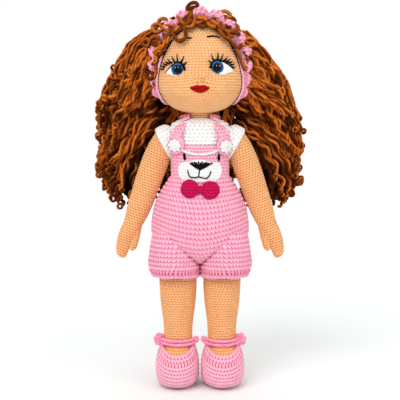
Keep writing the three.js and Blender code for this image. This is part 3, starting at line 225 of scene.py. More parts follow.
def swept(name, points, uv, look, body, replaced=(), mirror=False):
    """A closed section carried along a line, with a fan of faces over each end."""
    rows, cols = points.shape[:2]
    rim = np.arange(cols)
    last, total = (rows - 1) * cols, rows * cols
    first_fan = np.column_stack([rim, np.roll(rim, -1), np.full(cols, total)])[:, ::-1]
    last_fan = np.column_stack([last + rim, last + np.roll(rim, -1), np.full(cols, total + 1)])
    verts = np.vstack([points.reshape(-1, 3), points[0].mean(axis=0), points[-1].mean(axis=0)])
    faces = [grid_faces(rows, cols)[0], np.vstack([first_fan, last_fan])]
    uvs = [uv, np.zeros((2 * cols, 3, 2))]
    return piece(name, verts, faces, uvs, look, body, replaced, mirror)


# How each fabric is worked: stitch width and row height, relief depth, and the stitch's lean
SINGLE = dict(wide=3.1, high=2.45, depth=0.65, lean=0.3, drift=0.4)
FINE = dict(wide=3.1, high=2.65, depth=0.6, lean=0.25, drift=0.4)
WELT = dict(wide=3.3, high=4.3, depth=1.3, lean=0.5, drift=0.21)
PANEL = dict(wide=3.3, high=3.3, depth=0.75, lean=0.3, drift=0.5)
LOOSE = dict(wide=6.0, high=6.0, depth=0.8, lean=0.5, drift=0.5)
SHOE_FABRIC = dict(wide=3.7, high=4.3, depth=1.2, lean=0.1, drift=0.1)
HEM_WALL = 2.2


def stitch_relief(u, v, lean):
    """Height of a stitch from 0 to 1: two legs that part upwards, in a row that bulges."""
    x = np.abs((u + lean * v) % 1 - 0.5) * 2
    y = v % 1
    leg = np.clip(1 - (np.abs(x - (0.15 + 0.6 * y)) / 0.45) ** 2, 0, 1)
    row = np.sqrt(np.clip(np.sin(np.pi * y), 0, 1))
    return row * (0.62 + 0.38 * leg)


def rolled_hem(ring, normals, out, tuck):
    """The rings of a hem: its edge rolls inwards and runs on behind the fabric."""
    half = HEM_WALL / 2
    centre = ring - normals * half
    rolled = [centre + (normals * math.cos(q) + out * math.sin(q)) * half for q in (0.8, 1.57, 2.34, 3.14)]
    return rolled + [centre - normals * half - out * tuck]


def crocheted(name, form, low, high, fabric, look, body, replaced=(), shape=None, place=None,
              mirror=False, low_edge="round", high_edge="round", lift=0.0, squareness=2.0,
              per_stitch=5, per_row=5, tuck=7.0):
    """A stitched tube around a form between two reaches along it, each a number or a function of angle."""
    widest = form.table[:, 1:3].mean(axis=1).max()
    cols = int(round(2 * math.pi * widest / fabric["wide"])) * per_stitch
    around = np.arange(cols)
    angle = around / cols * 2 * math.pi
    start = np.full(cols, float(low)) if np.isscalar(low) else low(angle)
    stop = np.full(cols, float(high)) if np.isscalar(high) else high(angle)
    rows = max(2, int(round(float(np.median(stop - start)) / fabric["high"])))
    share = np.linspace(0, 1, rows * per_row + 1)[:, None]
    z, a, b, cx, cy = form.at(start + share * (stop - start))
    flat = 2 / squareness
    c, n = np.cos(angle), np.sin(angle)
    x = cx + a * np.sign(c) * np.abs(c) ** flat
    y = cy + b * np.sign(n) * np.abs(n) ** flat
    points = np.stack([x, y, z], axis=2)
    if shape is not None:
        points = shape(points, angle)
    normals = outward(points)

    # Each row has its own count of stitches, as it would be worked
    girth = np.linalg.norm(np.roll(points, -1, 1) - points, axis=2).sum(axis=1)
    counts = np.maximum(6, np.round(girth[per_row // 2::per_row][:rows] / fabric["wide"]))
    offsets = np.arange(rows) * fabric["drift"]
    line_row = np.minimum(np.arange(rows * per_row + 1) // per_row, rows - 1)
    v = np.arange(rows * per_row + 1)[:, None] / per_row
    u = angle / (2 * math.pi) * counts[line_row][:, None] + offsets[line_row][:, None]
    height = stitch_relief(u, np.where(v == rows, rows - 1e-6, v), fabric["lean"])
    points = points + normals * (lift + fabric["depth"] * (height - 0.5))[..., None]
    quads, i, j = grid_faces(len(points), cols)
    row_of = np.minimum(i // per_row, rows - 1)
    left = j / cols * counts[row_of] + offsets[row_of]
    right = (j + 1) / cols * counts[row_of] + offsets[row_of]
    verts, faces = [points.reshape(-1, 3)], [quads]
    uvs = [corner_uvs(left, right, i / per_row, (i + 1) / per_row)]

    total = len(points) * cols
    caps = []
    edges = ((low_edge, 0, per_row, False), (high_edge, len(points) - 1, -1 - per_row, True))
    for edge, line, inside, at_top in edges:
        ring = points[line]
        base = line * cols
        if edge == "hem":
            count = counts[-1 if at_top else 0]
            hem = rolled_hem(ring, normals[line], unit(ring - points[inside]), tuck)
            for k, ring in enumerate(hem):
                back, here = base + around, total + around
                quad = np.column_stack([back, np.roll(back, -1), np.roll(here, -1), here])
                quad_uv = corner_uvs(around / cols * count, (around + 1) / cols * count,
                                     0.5 + 0.08 * k, 0.58 + 0.08 * k)
                verts.append(ring)
                faces.append(quad if at_top else quad[:, ::-1])
                uvs.append(quad_uv if at_top else quad_uv[:, ::-1])
                base = total
                total += cols
        caps.append((ring.mean(axis=0), base, at_top))
    for middle, base, at_top in caps:
        rim = base + around
        fan = np.column_stack([rim, np.roll(rim, -1), np.full(cols, total)])
        verts.append(middle[None])
        faces.append(fan if at_top else fan[:, ::-1])
        uvs.append(np.zeros((cols, 3, 2)) + 0.5)
        total += 1
    verts = np.vstack(verts)
    if place is not None:
        verts = place(verts)
    return piece(name, verts, faces, uvs, look, body, replaced, mirror)


def carried_sides(way):
    """Two directions square to a line at each of its points, carried along it without a twist."""
    side = np.cross(way[0], [0.31, 0.87, 0.38])
    sides = []
    for along in way:
        side = side - along * (side @ along)
        side = side / max(np.linalg.norm(side), 1e-9)
        sides.append(side)
    first = np.array(sides)
    return first, np.cross(way, first)


def tubes(name, lines, look, body, replaced=(), sides=6, bead=0.0, mirror=False, open_way=None):
    """Round threads: lines are (points, radius or radii, tone); with open_way, their flanks get painted
    shade.
    """
    verts, quads, tris, quad_uvs, tones = [], [], [], [], []
    total = 0
    rim = np.arange(sides)
    ring = rim / sides * 2 * math.pi
    for line, radius, tone in lines:
        p = np.asarray(line, float)
        count = len(p)
        way = unit(np.gradient(p, axis=0))
        first, second = carried_sides(way)
        r = np.broadcast_to(np.asarray(radius, float), (count,)).copy()
        if bead:
            r *= 1 + bead * np.sin(np.arange(count) * 2.1 + p[0, 0] * 9)
        skin = p[:, None] + (first[:, None] * np.cos(ring)[None, :, None]
                             + second[:, None] * np.sin(ring)[None, :, None]) * r[:, None, None]
        tips = np.array([p[0] - way[0] * r[0] * 0.6, p[-1] + way[-1] * r[-1] * 0.6])
        verts += [skin.reshape(-1, 3), tips]
        faces, i, j = grid_faces(count, sides)
        quads.append(faces + total)
        quad_uvs.append(corner_uvs(j, j + 1, i, i + 1).astype(float))
        low = total + rim
        high = low + (count - 1) * sides
        tris.append(np.column_stack([np.roll(low, -1), low, np.full(sides, total + count * sides)]))
        tris.append(np.column_stack([high, np.roll(high, -1), np.full(sides, total + count * sides + 1)]))
        along = np.broadcast_to(np.asarray(tone, float), (count,))
        around = np.repeat(along, sides).reshape(count, sides)
        if open_way is not None:
            # Painted shade: flanks that turn away from the open side are made darker, as if in the shade of
            # their neighbours
            from_middle = (skin - p[:, None]) / np.maximum(r[:, None, None], 1e-6)
            facing = (from_middle * open_way(p)[:, None]).sum(axis=2)
            around = around * (0.12 + 0.88 * np.clip((facing + 0.12) / 0.8, 0, 1))
        tones.append(np.r_[around.ravel(), along[0], along[-1]])
        total += count * sides + 2
    uvs = [np.vstack(quad_uvs), np.zeros((2 * sides * len(lines), 3, 2))]
    return piece(name, np.vstack(verts), [np.vstack(quads), np.vstack(tris)], uvs, look, body, replaced,
                 mirror, np.concatenate(tones))


def sewn_on(name, outline, surface, thick, look, body, replaced=(), rings=8, stitch=3.2,
            puff=0.0, sink=0.8, per_side=1, ribs=0, round_rows=True):
    """A flat shape sewn on a surface: outline is (x, z) anticlockwise from the front, surface gives y."""
    rim = np.asarray(outline, float)
    if per_side > 1:
        rim = smooth_line(rim, per_side, closed=True)[:, :2]
    middle = rim.mean(axis=0)
    cols = len(rim)
    share = np.sin(np.linspace(0, 1, rings + 1)[1:] * math.pi / 2)
    flat = middle + (rim - middle)[None] * share[:, None, None]
    x, z = flat[..., 0], flat[..., 1]
    edge = np.sqrt(np.clip(1 - share**4, 0, 1))[:, None]
    radius = np.linalg.norm(rim - middle, axis=1).mean()
    if round_rows:
        u = np.arange(cols) / cols * max(6, round(2 * math.pi * radius / stitch))
        v = share * radius / stitch
        height = stitch_relief(u[None], v[:, None], 0)
    else:
        u, v = x / stitch, z / stitch
        height = stitch_relief(u, v, 0)
    if ribs:
        height = 0.5 + 0.5 * np.cos(np.arange(cols) / cols * 2 * math.pi * ribs)[None] * share[:, None] ** 2
    lifted = thick * (0.25 + 0.75 * edge) + puff * (1 - share[:, None] ** 2)
    lifted = lifted + 0.45 * (height - 0.5) * (edge > 0.2)
    front = np.stack([x, surface(x, z) - lifted, z], axis=2)
    back = np.stack([rim[:, 0], surface(rim[:, 0], rim[:, 1]) + sink, rim[:, 1]], axis=1)
    centre_y = float(surface(middle[0], middle[1]))
    centres = np.array([[middle[0], y, middle[1]] for y in (centre_y - (thick + puff), centre_y + sink)])
    verts = np.vstack([front.reshape(-1, 3), back, centres])

    quads, i, j = grid_faces(rings + 1, cols)
    if round_rows:
        reach = np.r_[share, 1.1]
        uv = corner_uvs(j * u[1], (j + 1) * u[1], reach[i] * radius / stitch, reach[i + 1] * radius / stitch)
        middle_uv = np.array([0.5, 0.5])
        first_ring = np.stack([u, np.full(cols, v[0])], axis=1)
    else:
        grid = np.stack([u, v], axis=2)
        grid = np.concatenate([grid, grid[-1:]], axis=0)
        beside = (j + 1) % cols
        uv = np.stack([grid[i, j], grid[i, beside], grid[i + 1, beside], grid[i + 1, j]], axis=1)
        middle_uv = middle / stitch
        first_ring = np.stack([u[0], v[0]], axis=1)
    turn = np.arange(cols)
    n_front = rings * cols
    cap = np.column_stack([np.full(cols, n_front + cols), turn, np.roll(turn, -1)])
    under = np.column_stack([np.full(cols, n_front + cols + 1), n_front + np.roll(turn, -1), n_front + turn])
    cap_uv = np.stack([np.broadcast_to(middle_uv, (cols, 2)), first_ring, np.roll(first_ring, -1, 0)], axis=1)
    # The rings grow outwards, so their faces are turned to face the viewer
    return piece(name, verts, [quads[:, ::-1], cap, under], [uv[:, ::-1], cap_uv, np.zeros((cols, 3, 2))],
                 look, body, replaced)


# Materials
def colour(hex_value):
    """An sRGB hex colour as linear values."""
    parts = [int(hex_value[k:k + 2], 16) / 255 for k in (1, 3, 5)]
    return [p / 12.92 if p <= 0.04045 else ((p + 0.055) / 1.055) ** 2.4 for p in parts] + [1.0]


def add(tree, kind, *values, out=0, named=None, **settings):
    """Adds a node: values go to its inputs in order, None leaves one alone, named goes by socket name."""
    made = tree.nodes.new(kind)
    for key, value in settings.items():
        setattr(made, key, value)
    sockets = list(zip(made.inputs, values)) + [(made.inputs[k], v) for k, v in (named or {}).items()]
    for socket, value in sockets:
        if isinstance(value, bpy.types.NodeSocket):
            tree.links.new(value, socket)
        elif value is not None:
            socket.default_value = value
    return made.outputs[out] if made.outputs else None


MATH = "ShaderNodeMath"
RANGE = "ShaderNodeMapRange"
NOISE = "ShaderNodeTexNoise"
SHADER = "ShaderNodeBsdfPrincipled"
OUTPUT = "ShaderNodeOutputMaterial"
SMOOTH = dict(interpolation_type="SMOOTHSTEP")
COLOUR_MIX = dict(kind="ShaderNodeMix", data_type="RGBA", out="Result")


def new_material(name):
    """An empty material and its node tree."""
    made = bpy.data.materials.new(name)
    made.use_nodes = True
    made.node_tree.nodes.clear()
    return made, made.node_tree


def cotton_crochet(name, light, shade, gap_shade, lean=0.3, hole_size=1.0, soft=0.0, bump=0.6, slant=0.9,
                   strokes=0.0, eyelets=0.0, eyelet_wide=0.34, vary=0.07):
    """Mercerised cotton in single crochet: matt plied strands in V shapes, with slanting gaps between; the
    low parts of the stitches, the grooves and the gaps are painted shade.
    """
    made, tree = new_material(name)
    uv = add(tree, "ShaderNodeUVMap", uv_map="stitches")
    u, v = add(tree, "ShaderNodeSeparateXYZ", uv).node.outputs[:2]
    slanted = add(tree, MATH, v, lean, u, operation="MULTIPLY_ADD")
    cell = add(tree, MATH, slanted, operation="FRACT")
    off = add(tree, MATH, cell, 0.5, operation="SUBTRACT")
    away = add(tree, MATH, off, operation="ABSOLUTE")
    x = add(tree, MATH, away, 2.0, operation="MULTIPLY")
    y = add(tree, MATH, v, operation="FRACT")
    line = add(tree, MATH, y, 0.6, 0.15, operation="MULTIPLY_ADD")
    gap = add(tree, MATH, x, line, operation="SUBTRACT")
    gap = add(tree, MATH, gap, operation="ABSOLUTE")
    leg = add(tree, RANGE, gap, 0.08, 0.46, 1.0, 0.0, **SMOOTH)
    rise = add(tree, MATH, y, math.pi, operation="MULTIPLY")
    rise = add(tree, MATH, rise, operation="SINE")
    row = add(tree, MATH, rise, 0.5, operation="POWER")
    height = add(tree, MATH, leg, 0.45, 0.55, operation="MULTIPLY_ADD")
    height = add(tree, MATH, height, row, operation="MULTIPLY")

    # Each stitch has its own tone and its own gap
    stitch_u = add(tree, MATH, slanted, operation="FLOOR")
    stitch_v = add(tree, MATH, v, operation="FLOOR")
    stitch = add(tree, "ShaderNodeCombineXYZ", stitch_u, stitch_v)
    chance = add(tree, "ShaderNodeTexWhiteNoise", stitch)

    # Gaps lie between stitches at the foot of each row, and slant
    edge = add(tree, MATH, slanted, 0.5, operation="ADD")
    edge = add(tree, MATH, edge, operation="FRACT")
    edge = add(tree, MATH, edge, 0.5, operation="SUBTRACT")
    low = add(tree, MATH, y, 0.2, operation="SUBTRACT")
    across = add(tree, MATH, low, -slant * 0.5, edge, operation="MULTIPLY_ADD")
    across = add(tree, MATH, across, 1 / 0.15, operation="MULTIPLY")
    along = add(tree, MATH, low, 1 / 0.27, operation="MULTIPLY")
    across = add(tree, MATH, across, across, operation="MULTIPLY")
    reach = add(tree, MATH, along, along, across, operation="MULTIPLY_ADD")
    size = add(tree, RANGE, chance, 0.0, 1.0, 0.75 * hole_size, 1.25 * hole_size)
    reach = add(tree, MATH, reach, size, operation="DIVIDE")
    holes = add(tree, RANGE, reach, 0.3, 1.5, 1.0, 0.0, **SMOOTH)
    if eyelets:
        # One row is open work, its eyelets painted in the gap shade colour
        second = add(tree, MATH, stitch_v, eyelets, 0.2, operation="COMPARE")
        open_x = add(tree, MATH, edge, 1 / eyelet_wide, operation="MULTIPLY")
        open_y = add(tree, MATH, y, 0.5, operation="SUBTRACT")
        open_y = add(tree, MATH, open_y, 1 / 0.42, operation="MULTIPLY")
        open_x = add(tree, MATH, open_x, open_x, operation="MULTIPLY")
        ring = add(tree, MATH, open_y, open_y, open_x, operation="MULTIPLY_ADD")
        eyelet = add(tree, RANGE, ring, 0.5, 1.1, 1.0, 0.0, **SMOOTH)
        eyelet = add(tree, MATH, eyelet, second, operation="MULTIPLY")
        holes = add(tree, MATH, holes, eyelet, operation="MAXIMUM")

    # Strand twist at 0.7 mm and a slow change of tone over about 20 mm
    coords = add(tree, "ShaderNodeTexCoord", out="Object")
    strand = add(tree, NOISE, named={"Vector": coords, "Scale": 1400.0, "Detail": 3.0})
    drift = add(tree, NOISE, named={"Vector": coords, "Scale": 60.0, "Detail": 2.0})
    # Painted shade: the low parts of each stitch take the shade colour, and the gaps take the gap shade
    # colour
    sunk_shade = add(tree, RANGE, height, 0.3, 0.95, 1.0, 0.0)
    base = add(tree, **COLOUR_MIX, named={"Factor": sunk_shade, "A": colour(light), "B": colour(shade)})
    if strokes:
        # Long slanting grooves between tall stitches, in painted shade
        cross = add(tree, MATH, edge, operation="ABSOLUTE")
        groove_shade = add(tree, RANGE, cross, 0.04, 0.2, strokes, 0.0, **SMOOTH)
        base = add(tree, **COLOUR_MIX, named={"Factor": groove_shade, "A": base, "B": colour(gap_shade)})
    base = add(tree, **COLOUR_MIX, named={"Factor": holes, "A": base, "B": colour(gap_shade)})
    speck = add(tree, RANGE, strand, 0.3, 0.7, 0.94, 1.05)
    tone = add(tree, RANGE, drift, 0.3, 0.7, 0.97, 1.02)
    own = add(tree, RANGE, chance, 0.0, 1.0, 1.0 - vary, 1.0 + vary * 0.4)
    value = add(tree, MATH, speck, tone, operation="MULTIPLY")
    value = add(tree, MATH, value, own, operation="MULTIPLY")
    base = add(tree, "ShaderNodeHueSaturation", named={"Value": value, "Color": base})
    full = add(tree, MATH, strand, 0.16, height, operation="MULTIPLY_ADD")
    full = add(tree, MATH, holes, -0.6, full, operation="MULTIPLY_ADD")
    normal = add(tree, "ShaderNodeBump", named={"Strength": bump, "Distance": 0.0008, "Height": full})
    add(tree, OUTPUT, add(tree, SHADER, named={
        "Base Color": base, "Roughness": 0.9, "Normal": normal, "Specular IOR Level": 0.12,
        "Subsurface Weight": soft, "Subsurface Radius": (0.003, 0.0011, 0.0005), "Subsurface Scale": 1.0}))
    return made


def sewing_thread(name, main, dark, scale=900.0):
    """Stranded embroidery thread: a fine twist that shows as light and dark flecks, almost no shine."""
    made, tree = new_material(name)
    coords = add(tree, "ShaderNodeTexCoord", out="Object")
    twist = add(tree, NOISE, named={"Vector": coords, "Scale": scale, "Detail": 2.0})
    shade = add(tree, RANGE, twist, 0.35, 0.65, 0.0, 1.0)
    base = add(tree, **COLOUR_MIX, named={"Factor": shade, "A": colour(dark), "B": colour(main)})
    normal = add(tree, "ShaderNodeBump", named={"Strength": 0.35, "Distance": 0.0004, "Height": twist})
    add(tree, OUTPUT, add(tree, SHADER, named={
        "Base Color": base, "Roughness": 0.7, "Normal": normal, "Specular IOR Level": 0.05}))
    return made


def chenille(name, deep, mid, bright):
    """Chenille yarn: short velvet pile around a core, with painted shade in its hollows, and lighter at its
    rims by sheen.
    """
    made, tree = new_material(name)
    coords = add(tree, "ShaderNodeTexCoord", out="Object")
    # Pile at 0.8 mm and a slow change along the strand at 8 mm
    pile = add(tree, NOISE, named={"Vector": coords, "Scale": 1300.0, "Detail": 3.0})
    slow = add(tree, NOISE, named={"Vector": coords, "Scale": 120.0, "Detail": 1.0})
    # The tone attribute holds each strand's own tone together with painted shade: darker where it lies deep
    # or turns from the open side
    tone = add(tree, "ShaderNodeAttribute", out=2, attribute_name="tone")
    tone_and_painted_light = add(tree, RANGE, slow, 0.35, 0.65, -0.2, 0.2)
    tone_and_painted_light = add(tree, MATH, tone, tone_and_painted_light, operation="ADD")
    base = add(tree, **COLOUR_MIX, named={"Factor": tone_and_painted_light, "A": colour(mid), "B": colour(bright)})
    # Painted shade in the pile's hollows
    hollow_shade = add(tree, RANGE, pile, 0.3, 0.52, 0.75, 0.0, **SMOOTH)
    base = add(tree, **COLOUR_MIX, named={"Factor": hollow_shade, "A": base, "B": colour(deep)})
    value = add(tree, RANGE, tone, 0.0, 0.85, 0.1, 1.1)
    base = add(tree, "ShaderNodeHueSaturation", named={"Value": value, "Color": base})
    normal = add(tree, "ShaderNodeBump", named={"Strength": 0.8, "Distance": 0.0008, "Height": pile})
    add(tree, OUTPUT, add(tree, SHADER, named={
        "Base Color": base, "Roughness": 0.95, "Normal": normal, "Specular IOR Level": 0.05,
        "Sheen Weight": 0.35, "Sheen Roughness": 0.35, "Sheen Tint": colour(bright)}))
    return made


def wool_felt(name, main, dark):
    """Pressed felt: matt, with short matted fibres."""
    made, tree = new_material(name)
    coords = add(tree, "ShaderNodeTexCoord", out="Object")
    fibre = add(tree, NOISE, named={"Vector": coords, "Scale": 1600.0, "Detail": 3.0})
    base = add(tree, **COLOUR_MIX, named={"Factor": fibre, "A": colour(dark), "B": colour(main)})
    normal = add(tree, "ShaderNodeBump", named={"Strength": 0.25, "Distance": 0.0003, "Height": fibre})
    add(tree, OUTPUT, add(tree, SHADER, named={
        "Base Color": base, "Roughness": 0.9, "Normal": normal, "Sheen Weight": 0.2}))
    return made


def plain_finish(name, main, dark, rough, scale):
    """A plain hard finish with a faint grain."""
    made, tree = new_material(name)
    coords = add(tree, "ShaderNodeTexCoord", out="Object")
    grain = add(tree, NOISE, named={"Vector": coords, "Scale": scale, "Detail": 3.0})
    base = add(tree, **COLOUR_MIX, named={"Factor": grain, "A": colour(main), "B": colour(dark)})
    add(tree, OUTPUT, add(tree, SHADER, named={"Base Color": base, "Roughness": rough}))
    return made


EYE_RADIUS, EYE_DOME = 6.4, 3.6
EYE_TURN = 20  # degrees that each eye turns outwards with the face
EYE_RINGS = [  # share of the eye's radius and colour: pupil, its edge, the blue ring, the dark rim
    (0.0, "#010102"), (1.0, "#020d1d"), (0.54, "#020306"), (0.59, "#052245"), (0.66, "#0c4a80"),
    (0.76, "#1767a6"), (0.86, "#0b4576"), (0.93, "#04203c"),
]


def safety_eye(name, centre):
    """Moulded acrylic eye: black pupil, blue ring with fine rays, dark rim, high gloss."""
    made, tree = new_material(name)
    coords = add(tree, "ShaderNodeTexCoord", out="Object")
    local = add(tree, "ShaderNodeMapping", coords, named={"Location": [-c for c in centre]})
    flat = add(tree, "ShaderNodeVectorMath", local, (1.0, 0.0, 1.0), operation="MULTIPLY")
    reach = add(tree, "ShaderNodeVectorMath", flat, out="Value", operation="LENGTH")
    share = add(tree, MATH, reach, 1 / (EYE_RADIUS * MM), operation="MULTIPLY")
    rings = add(tree, "ShaderNodeValToRGB", share)
    stops = rings.node.color_ramp.elements
    for k, (place, value) in enumerate(EYE_RINGS):
        stop = stops[k] if k < 2 else stops.new(place)
        stop.position = place
        stop.color = colour(value)
    rays = add(tree, NOISE, named={"Vector": flat, "Scale": 900.0, "Detail": 2.0})
    dim = add(tree, RANGE, rays, 0.3, 0.7, 0.85, 1.12)
    base = add(tree, "ShaderNodeHueSaturation", named={"Value": dim, "Color": rings})
    add(tree, OUTPUT, add(tree, SHADER, named={
        "Base Color": base, "Roughness": 0.07, "Specular IOR Level": 0.14}))
    return made


# Each yarn's colours are the yarn lit, the yarn in shade and its gaps in shade; the last two are painted
# shade
skin_yarn = cotton_crochet("skin_cotton_single_crochet", "#ffce97", "#f8a263", "#e06920", soft=0.22,
                           hole_size=1.15, bump=0.7)
head_yarn = cotton_crochet("skin_cotton_fine_crochet", "#ffcd96", "#fbb175", "#e67b30", soft=0.2,
                           hole_size=0.95, bump=0.6)
pink_yarn = cotton_crochet("pink_cotton_single_crochet", "#ffcbdb", "#fb9ebd", "#e95685", soft=0.04)
pink_welt = cotton_crochet("pink_cotton_welts", "#ffcbdc", "#fa99b9", "#ee648f", lean=0.5, soft=0.04,
                           slant=0.2, strokes=0.55, hole_size=0.7)
pink_hem_welt = cotton_crochet("pink_cotton_welts_with_eyelets", "#ffcbdc", "#fa99b9", "#e25180", lean=0.5,
                               soft=0.04, slant=0.2, strokes=0.45, hole_size=0.7, eyelets=1.0)
white_yarn = cotton_crochet("white_cotton_single_crochet", "#ffffff", "#f0eeeb", "#bdb9b2", soft=0.04,
                            hole_size=0.45, vary=0.02)
shoe_yarn = cotton_crochet("pink_cotton_shoe_crochet", "#ffccdb", "#fb9fbd", "#d9396e", lean=0.1, soft=0.04,
                           hole_size=1.1, eyelets=8.0, eyelet_wide=0.2)
muzzle_yarn = cotton_crochet("white_cotton_muzzle", "#ffffff", "#f4f3f1", "#d6d3ce", soft=0.04,
                             hole_size=0.25, vary=0.02)
crimson_yarn = cotton_crochet("crimson_cotton_single_crochet", "#dc0058", "#b10047", "#640028",
                              hole_size=0.8)
pink_thread = sewing_thread("pink_cotton_cord", "#ffb4ca", "#f07ba2", 500.0)
black_thread = sewing_thread("black_stranded_thread", "#15110f", "#050404")
lash_thread = sewing_thread("dark_lash_thread", "#1d120c", "#070403")
white_thread = sewing_thread("white_soft_thread", "#fdfdfc", "#dedad3", 700.0)
red_thread = sewing_thread("red_satin_thread", "#c30008", "#8a0004", 700.0)
lip_line_thread = sewing_thread("dark_red_thread", "#7c0008", "#560004")
# Painted shade: thread in the colour of shaded skin, for the nostrils
nostril_shade_thread = sewing_thread("nostril_painted_shade_thread", "#c4651f", "#a04c12")
arm_thread = sewing_thread("shoulder_thread_cotton", "#efe8dc", "#c9bfae")
white_felt = wool_felt("white_felt", "#fbfbfa", "#e9e8e6")
fibre_fill = wool_felt("polyester_fibre_fill", "#f4f3ef", "#d8d6cf")
hair_yarn = chenille("brown_chenille_yarn", "#240901", "#993f0a", "#e27b27")
# Painted shade: chenille as seen in deep shade, for the wig base and the dark masses inside the hair
hair_painted_shade = chenille("brown_chenille_in_painted_shade", "#180702", "#321305", "#4a1f08")
insole_card = plain_finish("insole_card", "#c9b79b", "#a89470", 0.85, 500.0)
washer_plastic = plain_finish("eye_washer_plastic", "#dedede", "#c9c9c9", 0.4, 400.0)
beech = plain_finish("beech_dowel", "#d8b98a", "#b98f5c", 0.55, 90.0)


# Head: nose, cheeks and eye sockets are pressed into the stuffed form
EYES = {"right": (-20.0, 299.2), "left": (15.4, 300.9)}
FACE_SWELLS = [  # how far each swell stands forward, its middle's x and z, and its half width and height
    (4.0, 0.3, 290.6, 4.4, 3.8),  # nose
    (1.5, -20, 279, 13, 11), (1.5, 20, 279, 13, 11),  # cheeks
    (1.2, 0, 268, 16, 8),  # chin
    (-1.6, *EYES["right"], 9, 8), (-1.6, *EYES["left"], 9, 8),  # eye sockets
    (-0.9, 0, 284, 12, 3.2),  # fold above the lips
]
ROW_CLIMB = (3.4, 0.3, 287.5, 10, 6.5)


def swell_at(x, z, rise, middle_x, middle_z, wide, high):
    """A smooth round swell, as a height at each place."""
    return rise * np.exp(-((x - middle_x) / wide) ** 2 - ((z - middle_z) / high) ** 2)


def face_relief(x, z):
    """How far the face stands forward of the plain form."""
    return sum(swell_at(x, z, *swell) for swell in FACE_SWELLS)


def face_y(x, z):
    """The y of the face's surface."""
    return head_form.front(x, z) - face_relief(x, z)


def shape_face(points, angle):
    """Presses the features into the front, where the rows climb a little over the nose."""
    front = np.clip(-np.sin(angle) * 1.6 - 0.2, 0, 1)[None]
    x, z = points[..., 0], points[..., 2]
    points[..., 1] -= face_relief(x, z) * front
    points[..., 2] += swell_at(x, z, *ROW_CLIMB) * front
    return points


crocheted("head", head_form, 0.0, head_form.length[-1], FINE, head_yarn, "head", ["head_skin"],
          shape=shape_face, per_stitch=5, per_row=4)

# Neck and trunk under the clothes
TRUNK_LOW, TRUNK_HIGH = 188.0, 259.4
crocheted("neck_and_trunk", trunk_form, trunk_form.reach_of(TRUNK_LOW), trunk_form.reach_of(TRUNK_HIGH),
          SINGLE, skin_yarn, "torso", ["torso_skin"])

# Arms hang from the shoulders; each leans outwards about its pivot
SKIN_WALL = 2.0
filling_form = Form([
    (z, max(a - SKIN_WALL, 0.4), max(b - SKIN_WALL, 0.4), cx) for z, a, b, cx, _ in arm_form.table[8:-8:8]])
thumb_form = Form([(0, 0.6, 0.6), (1.0, 2.4, 2.4), (4, 3.8, 3.6), (10, 4.1, 4.0), (17, 4.0, 4.0),
                   (23, 3.6, 3.8), (27, 2.4, 2.8), (28, 0.6, 0.8)])
THUMB_AT = (-6.3, -3.2, PIVOT_Z - 112.2)
THUMB_TILT = math.radians(-4)


def leaned(verts):
    """Turns a hanging arm outwards about its shoulder."""
    x, z = verts[:, 0], verts[:, 2] - PIVOT_Z
    c, s = math.cos(LEAN), math.sin(LEAN)
    out = verts.copy()
    out[:, 0] = PIVOT_X + x * c - z * s
    out[:, 2] = PIVOT_Z + x * s + z * c
    return out


def place_thumb(verts):
    """Sets a thumb on the inner side of the hand before the arm leans."""
    x, z = verts[:, 0], verts[:, 2]
    c, s = math.cos(THUMB_TILT), math.sin(THUMB_TILT)
    out = verts.copy()
    out[:, 0] = THUMB_AT[0] + x * c - z * s
    out[:, 1] = verts[:, 1] + THUMB_AT[1] + 0.1 * z
    out[:, 2] = THUMB_AT[2] + z * c + x * s
    return leaned(out)


for name, flip in SIDES:
    crocheted(f"arm_{name}", arm_form, 0.0, arm_form.length[-1], SINGLE, skin_yarn, f"arm_{name}",
              [f"arm_{name}_skin"], place=leaned, mirror=flip)
    crocheted(f"arm_filling_{name}", filling_form, 0.0, filling_form.length[-1], LOOSE, fibre_fill,
              f"arm_{name}", [f"arm_{name}_stuffing"], place=leaned, mirror=flip, per_stitch=3,
              per_row=3)
    crocheted(f"thumb_{name}", thumb_form, 0.0, thumb_form.length[-1], SINGLE, skin_yarn, f"arm_{name}",
              (), place=place_thumb, mirror=flip)

# Legs
for name, flip in SIDES:
    crocheted(f"leg_{name}", leg_form, 1.0, leg_form.length[-1], SINGLE, skin_yarn, f"leg_{name}",
              [f"leg_{name}_skin"], mirror=flip)

# Shirt and sleeves
SHIRT_LOW, SHIRT_LIFT = 189.7, 2.5
SLEEVE_LIFT, SLEEVE_LOW = 2.6, PIVOT_Z - 34
SLEEVE_EDGE = (37.9, 233.5)  # x and z of a place on the plane that a sleeve ends on
SLEEVE_TILT = math.radians(33)

crocheted("shirt", shirt_form, shirt_form.reach_of(SHIRT_LOW), shirt_form.length[-1], PANEL, white_yarn,
          "torso", ["shirt_body"], lift=SHIRT_LIFT, low_edge="hem", high_edge="hem", tuck=4.0)


def sleeve_hem(angle):
    """The sleeve ends on a plane that faces outwards and down; the reach of each angle where it does."""
    reach = np.zeros_like(angle)
    for k, q in enumerate(angle):
        s = np.linspace(arm_form.reach_of(SLEEVE_LOW), arm_form.length[-1], 160)
        z, a, b, _, _ = arm_form.at(s)
        line = leaned(np.column_stack([(a + 2.2) * math.cos(q), (b + 2.2) * math.sin(q), z]))
        side = ((line[:, 0] - SLEEVE_EDGE[0]) * math.cos(SLEEVE_TILT)
                - (line[:, 2] - SLEEVE_EDGE[1]) * math.sin(SLEEVE_TILT))
        below = np.nonzero(side > 0)[0]
        reach[k] = s[below[-1]] if len(below) else s[0]
    return reach


for name, flip in SIDES:
    crocheted(f"shirt_sleeve_{name}", arm_form, sleeve_hem, arm_form.length[-1] - 0.3, PANEL, white_yarn,
              f"arm_{name}", [f"sleeve_{name}"], place=leaned, lift=SLEEVE_LIFT, low_edge="hem",
              mirror=flip, tuck=4.0)

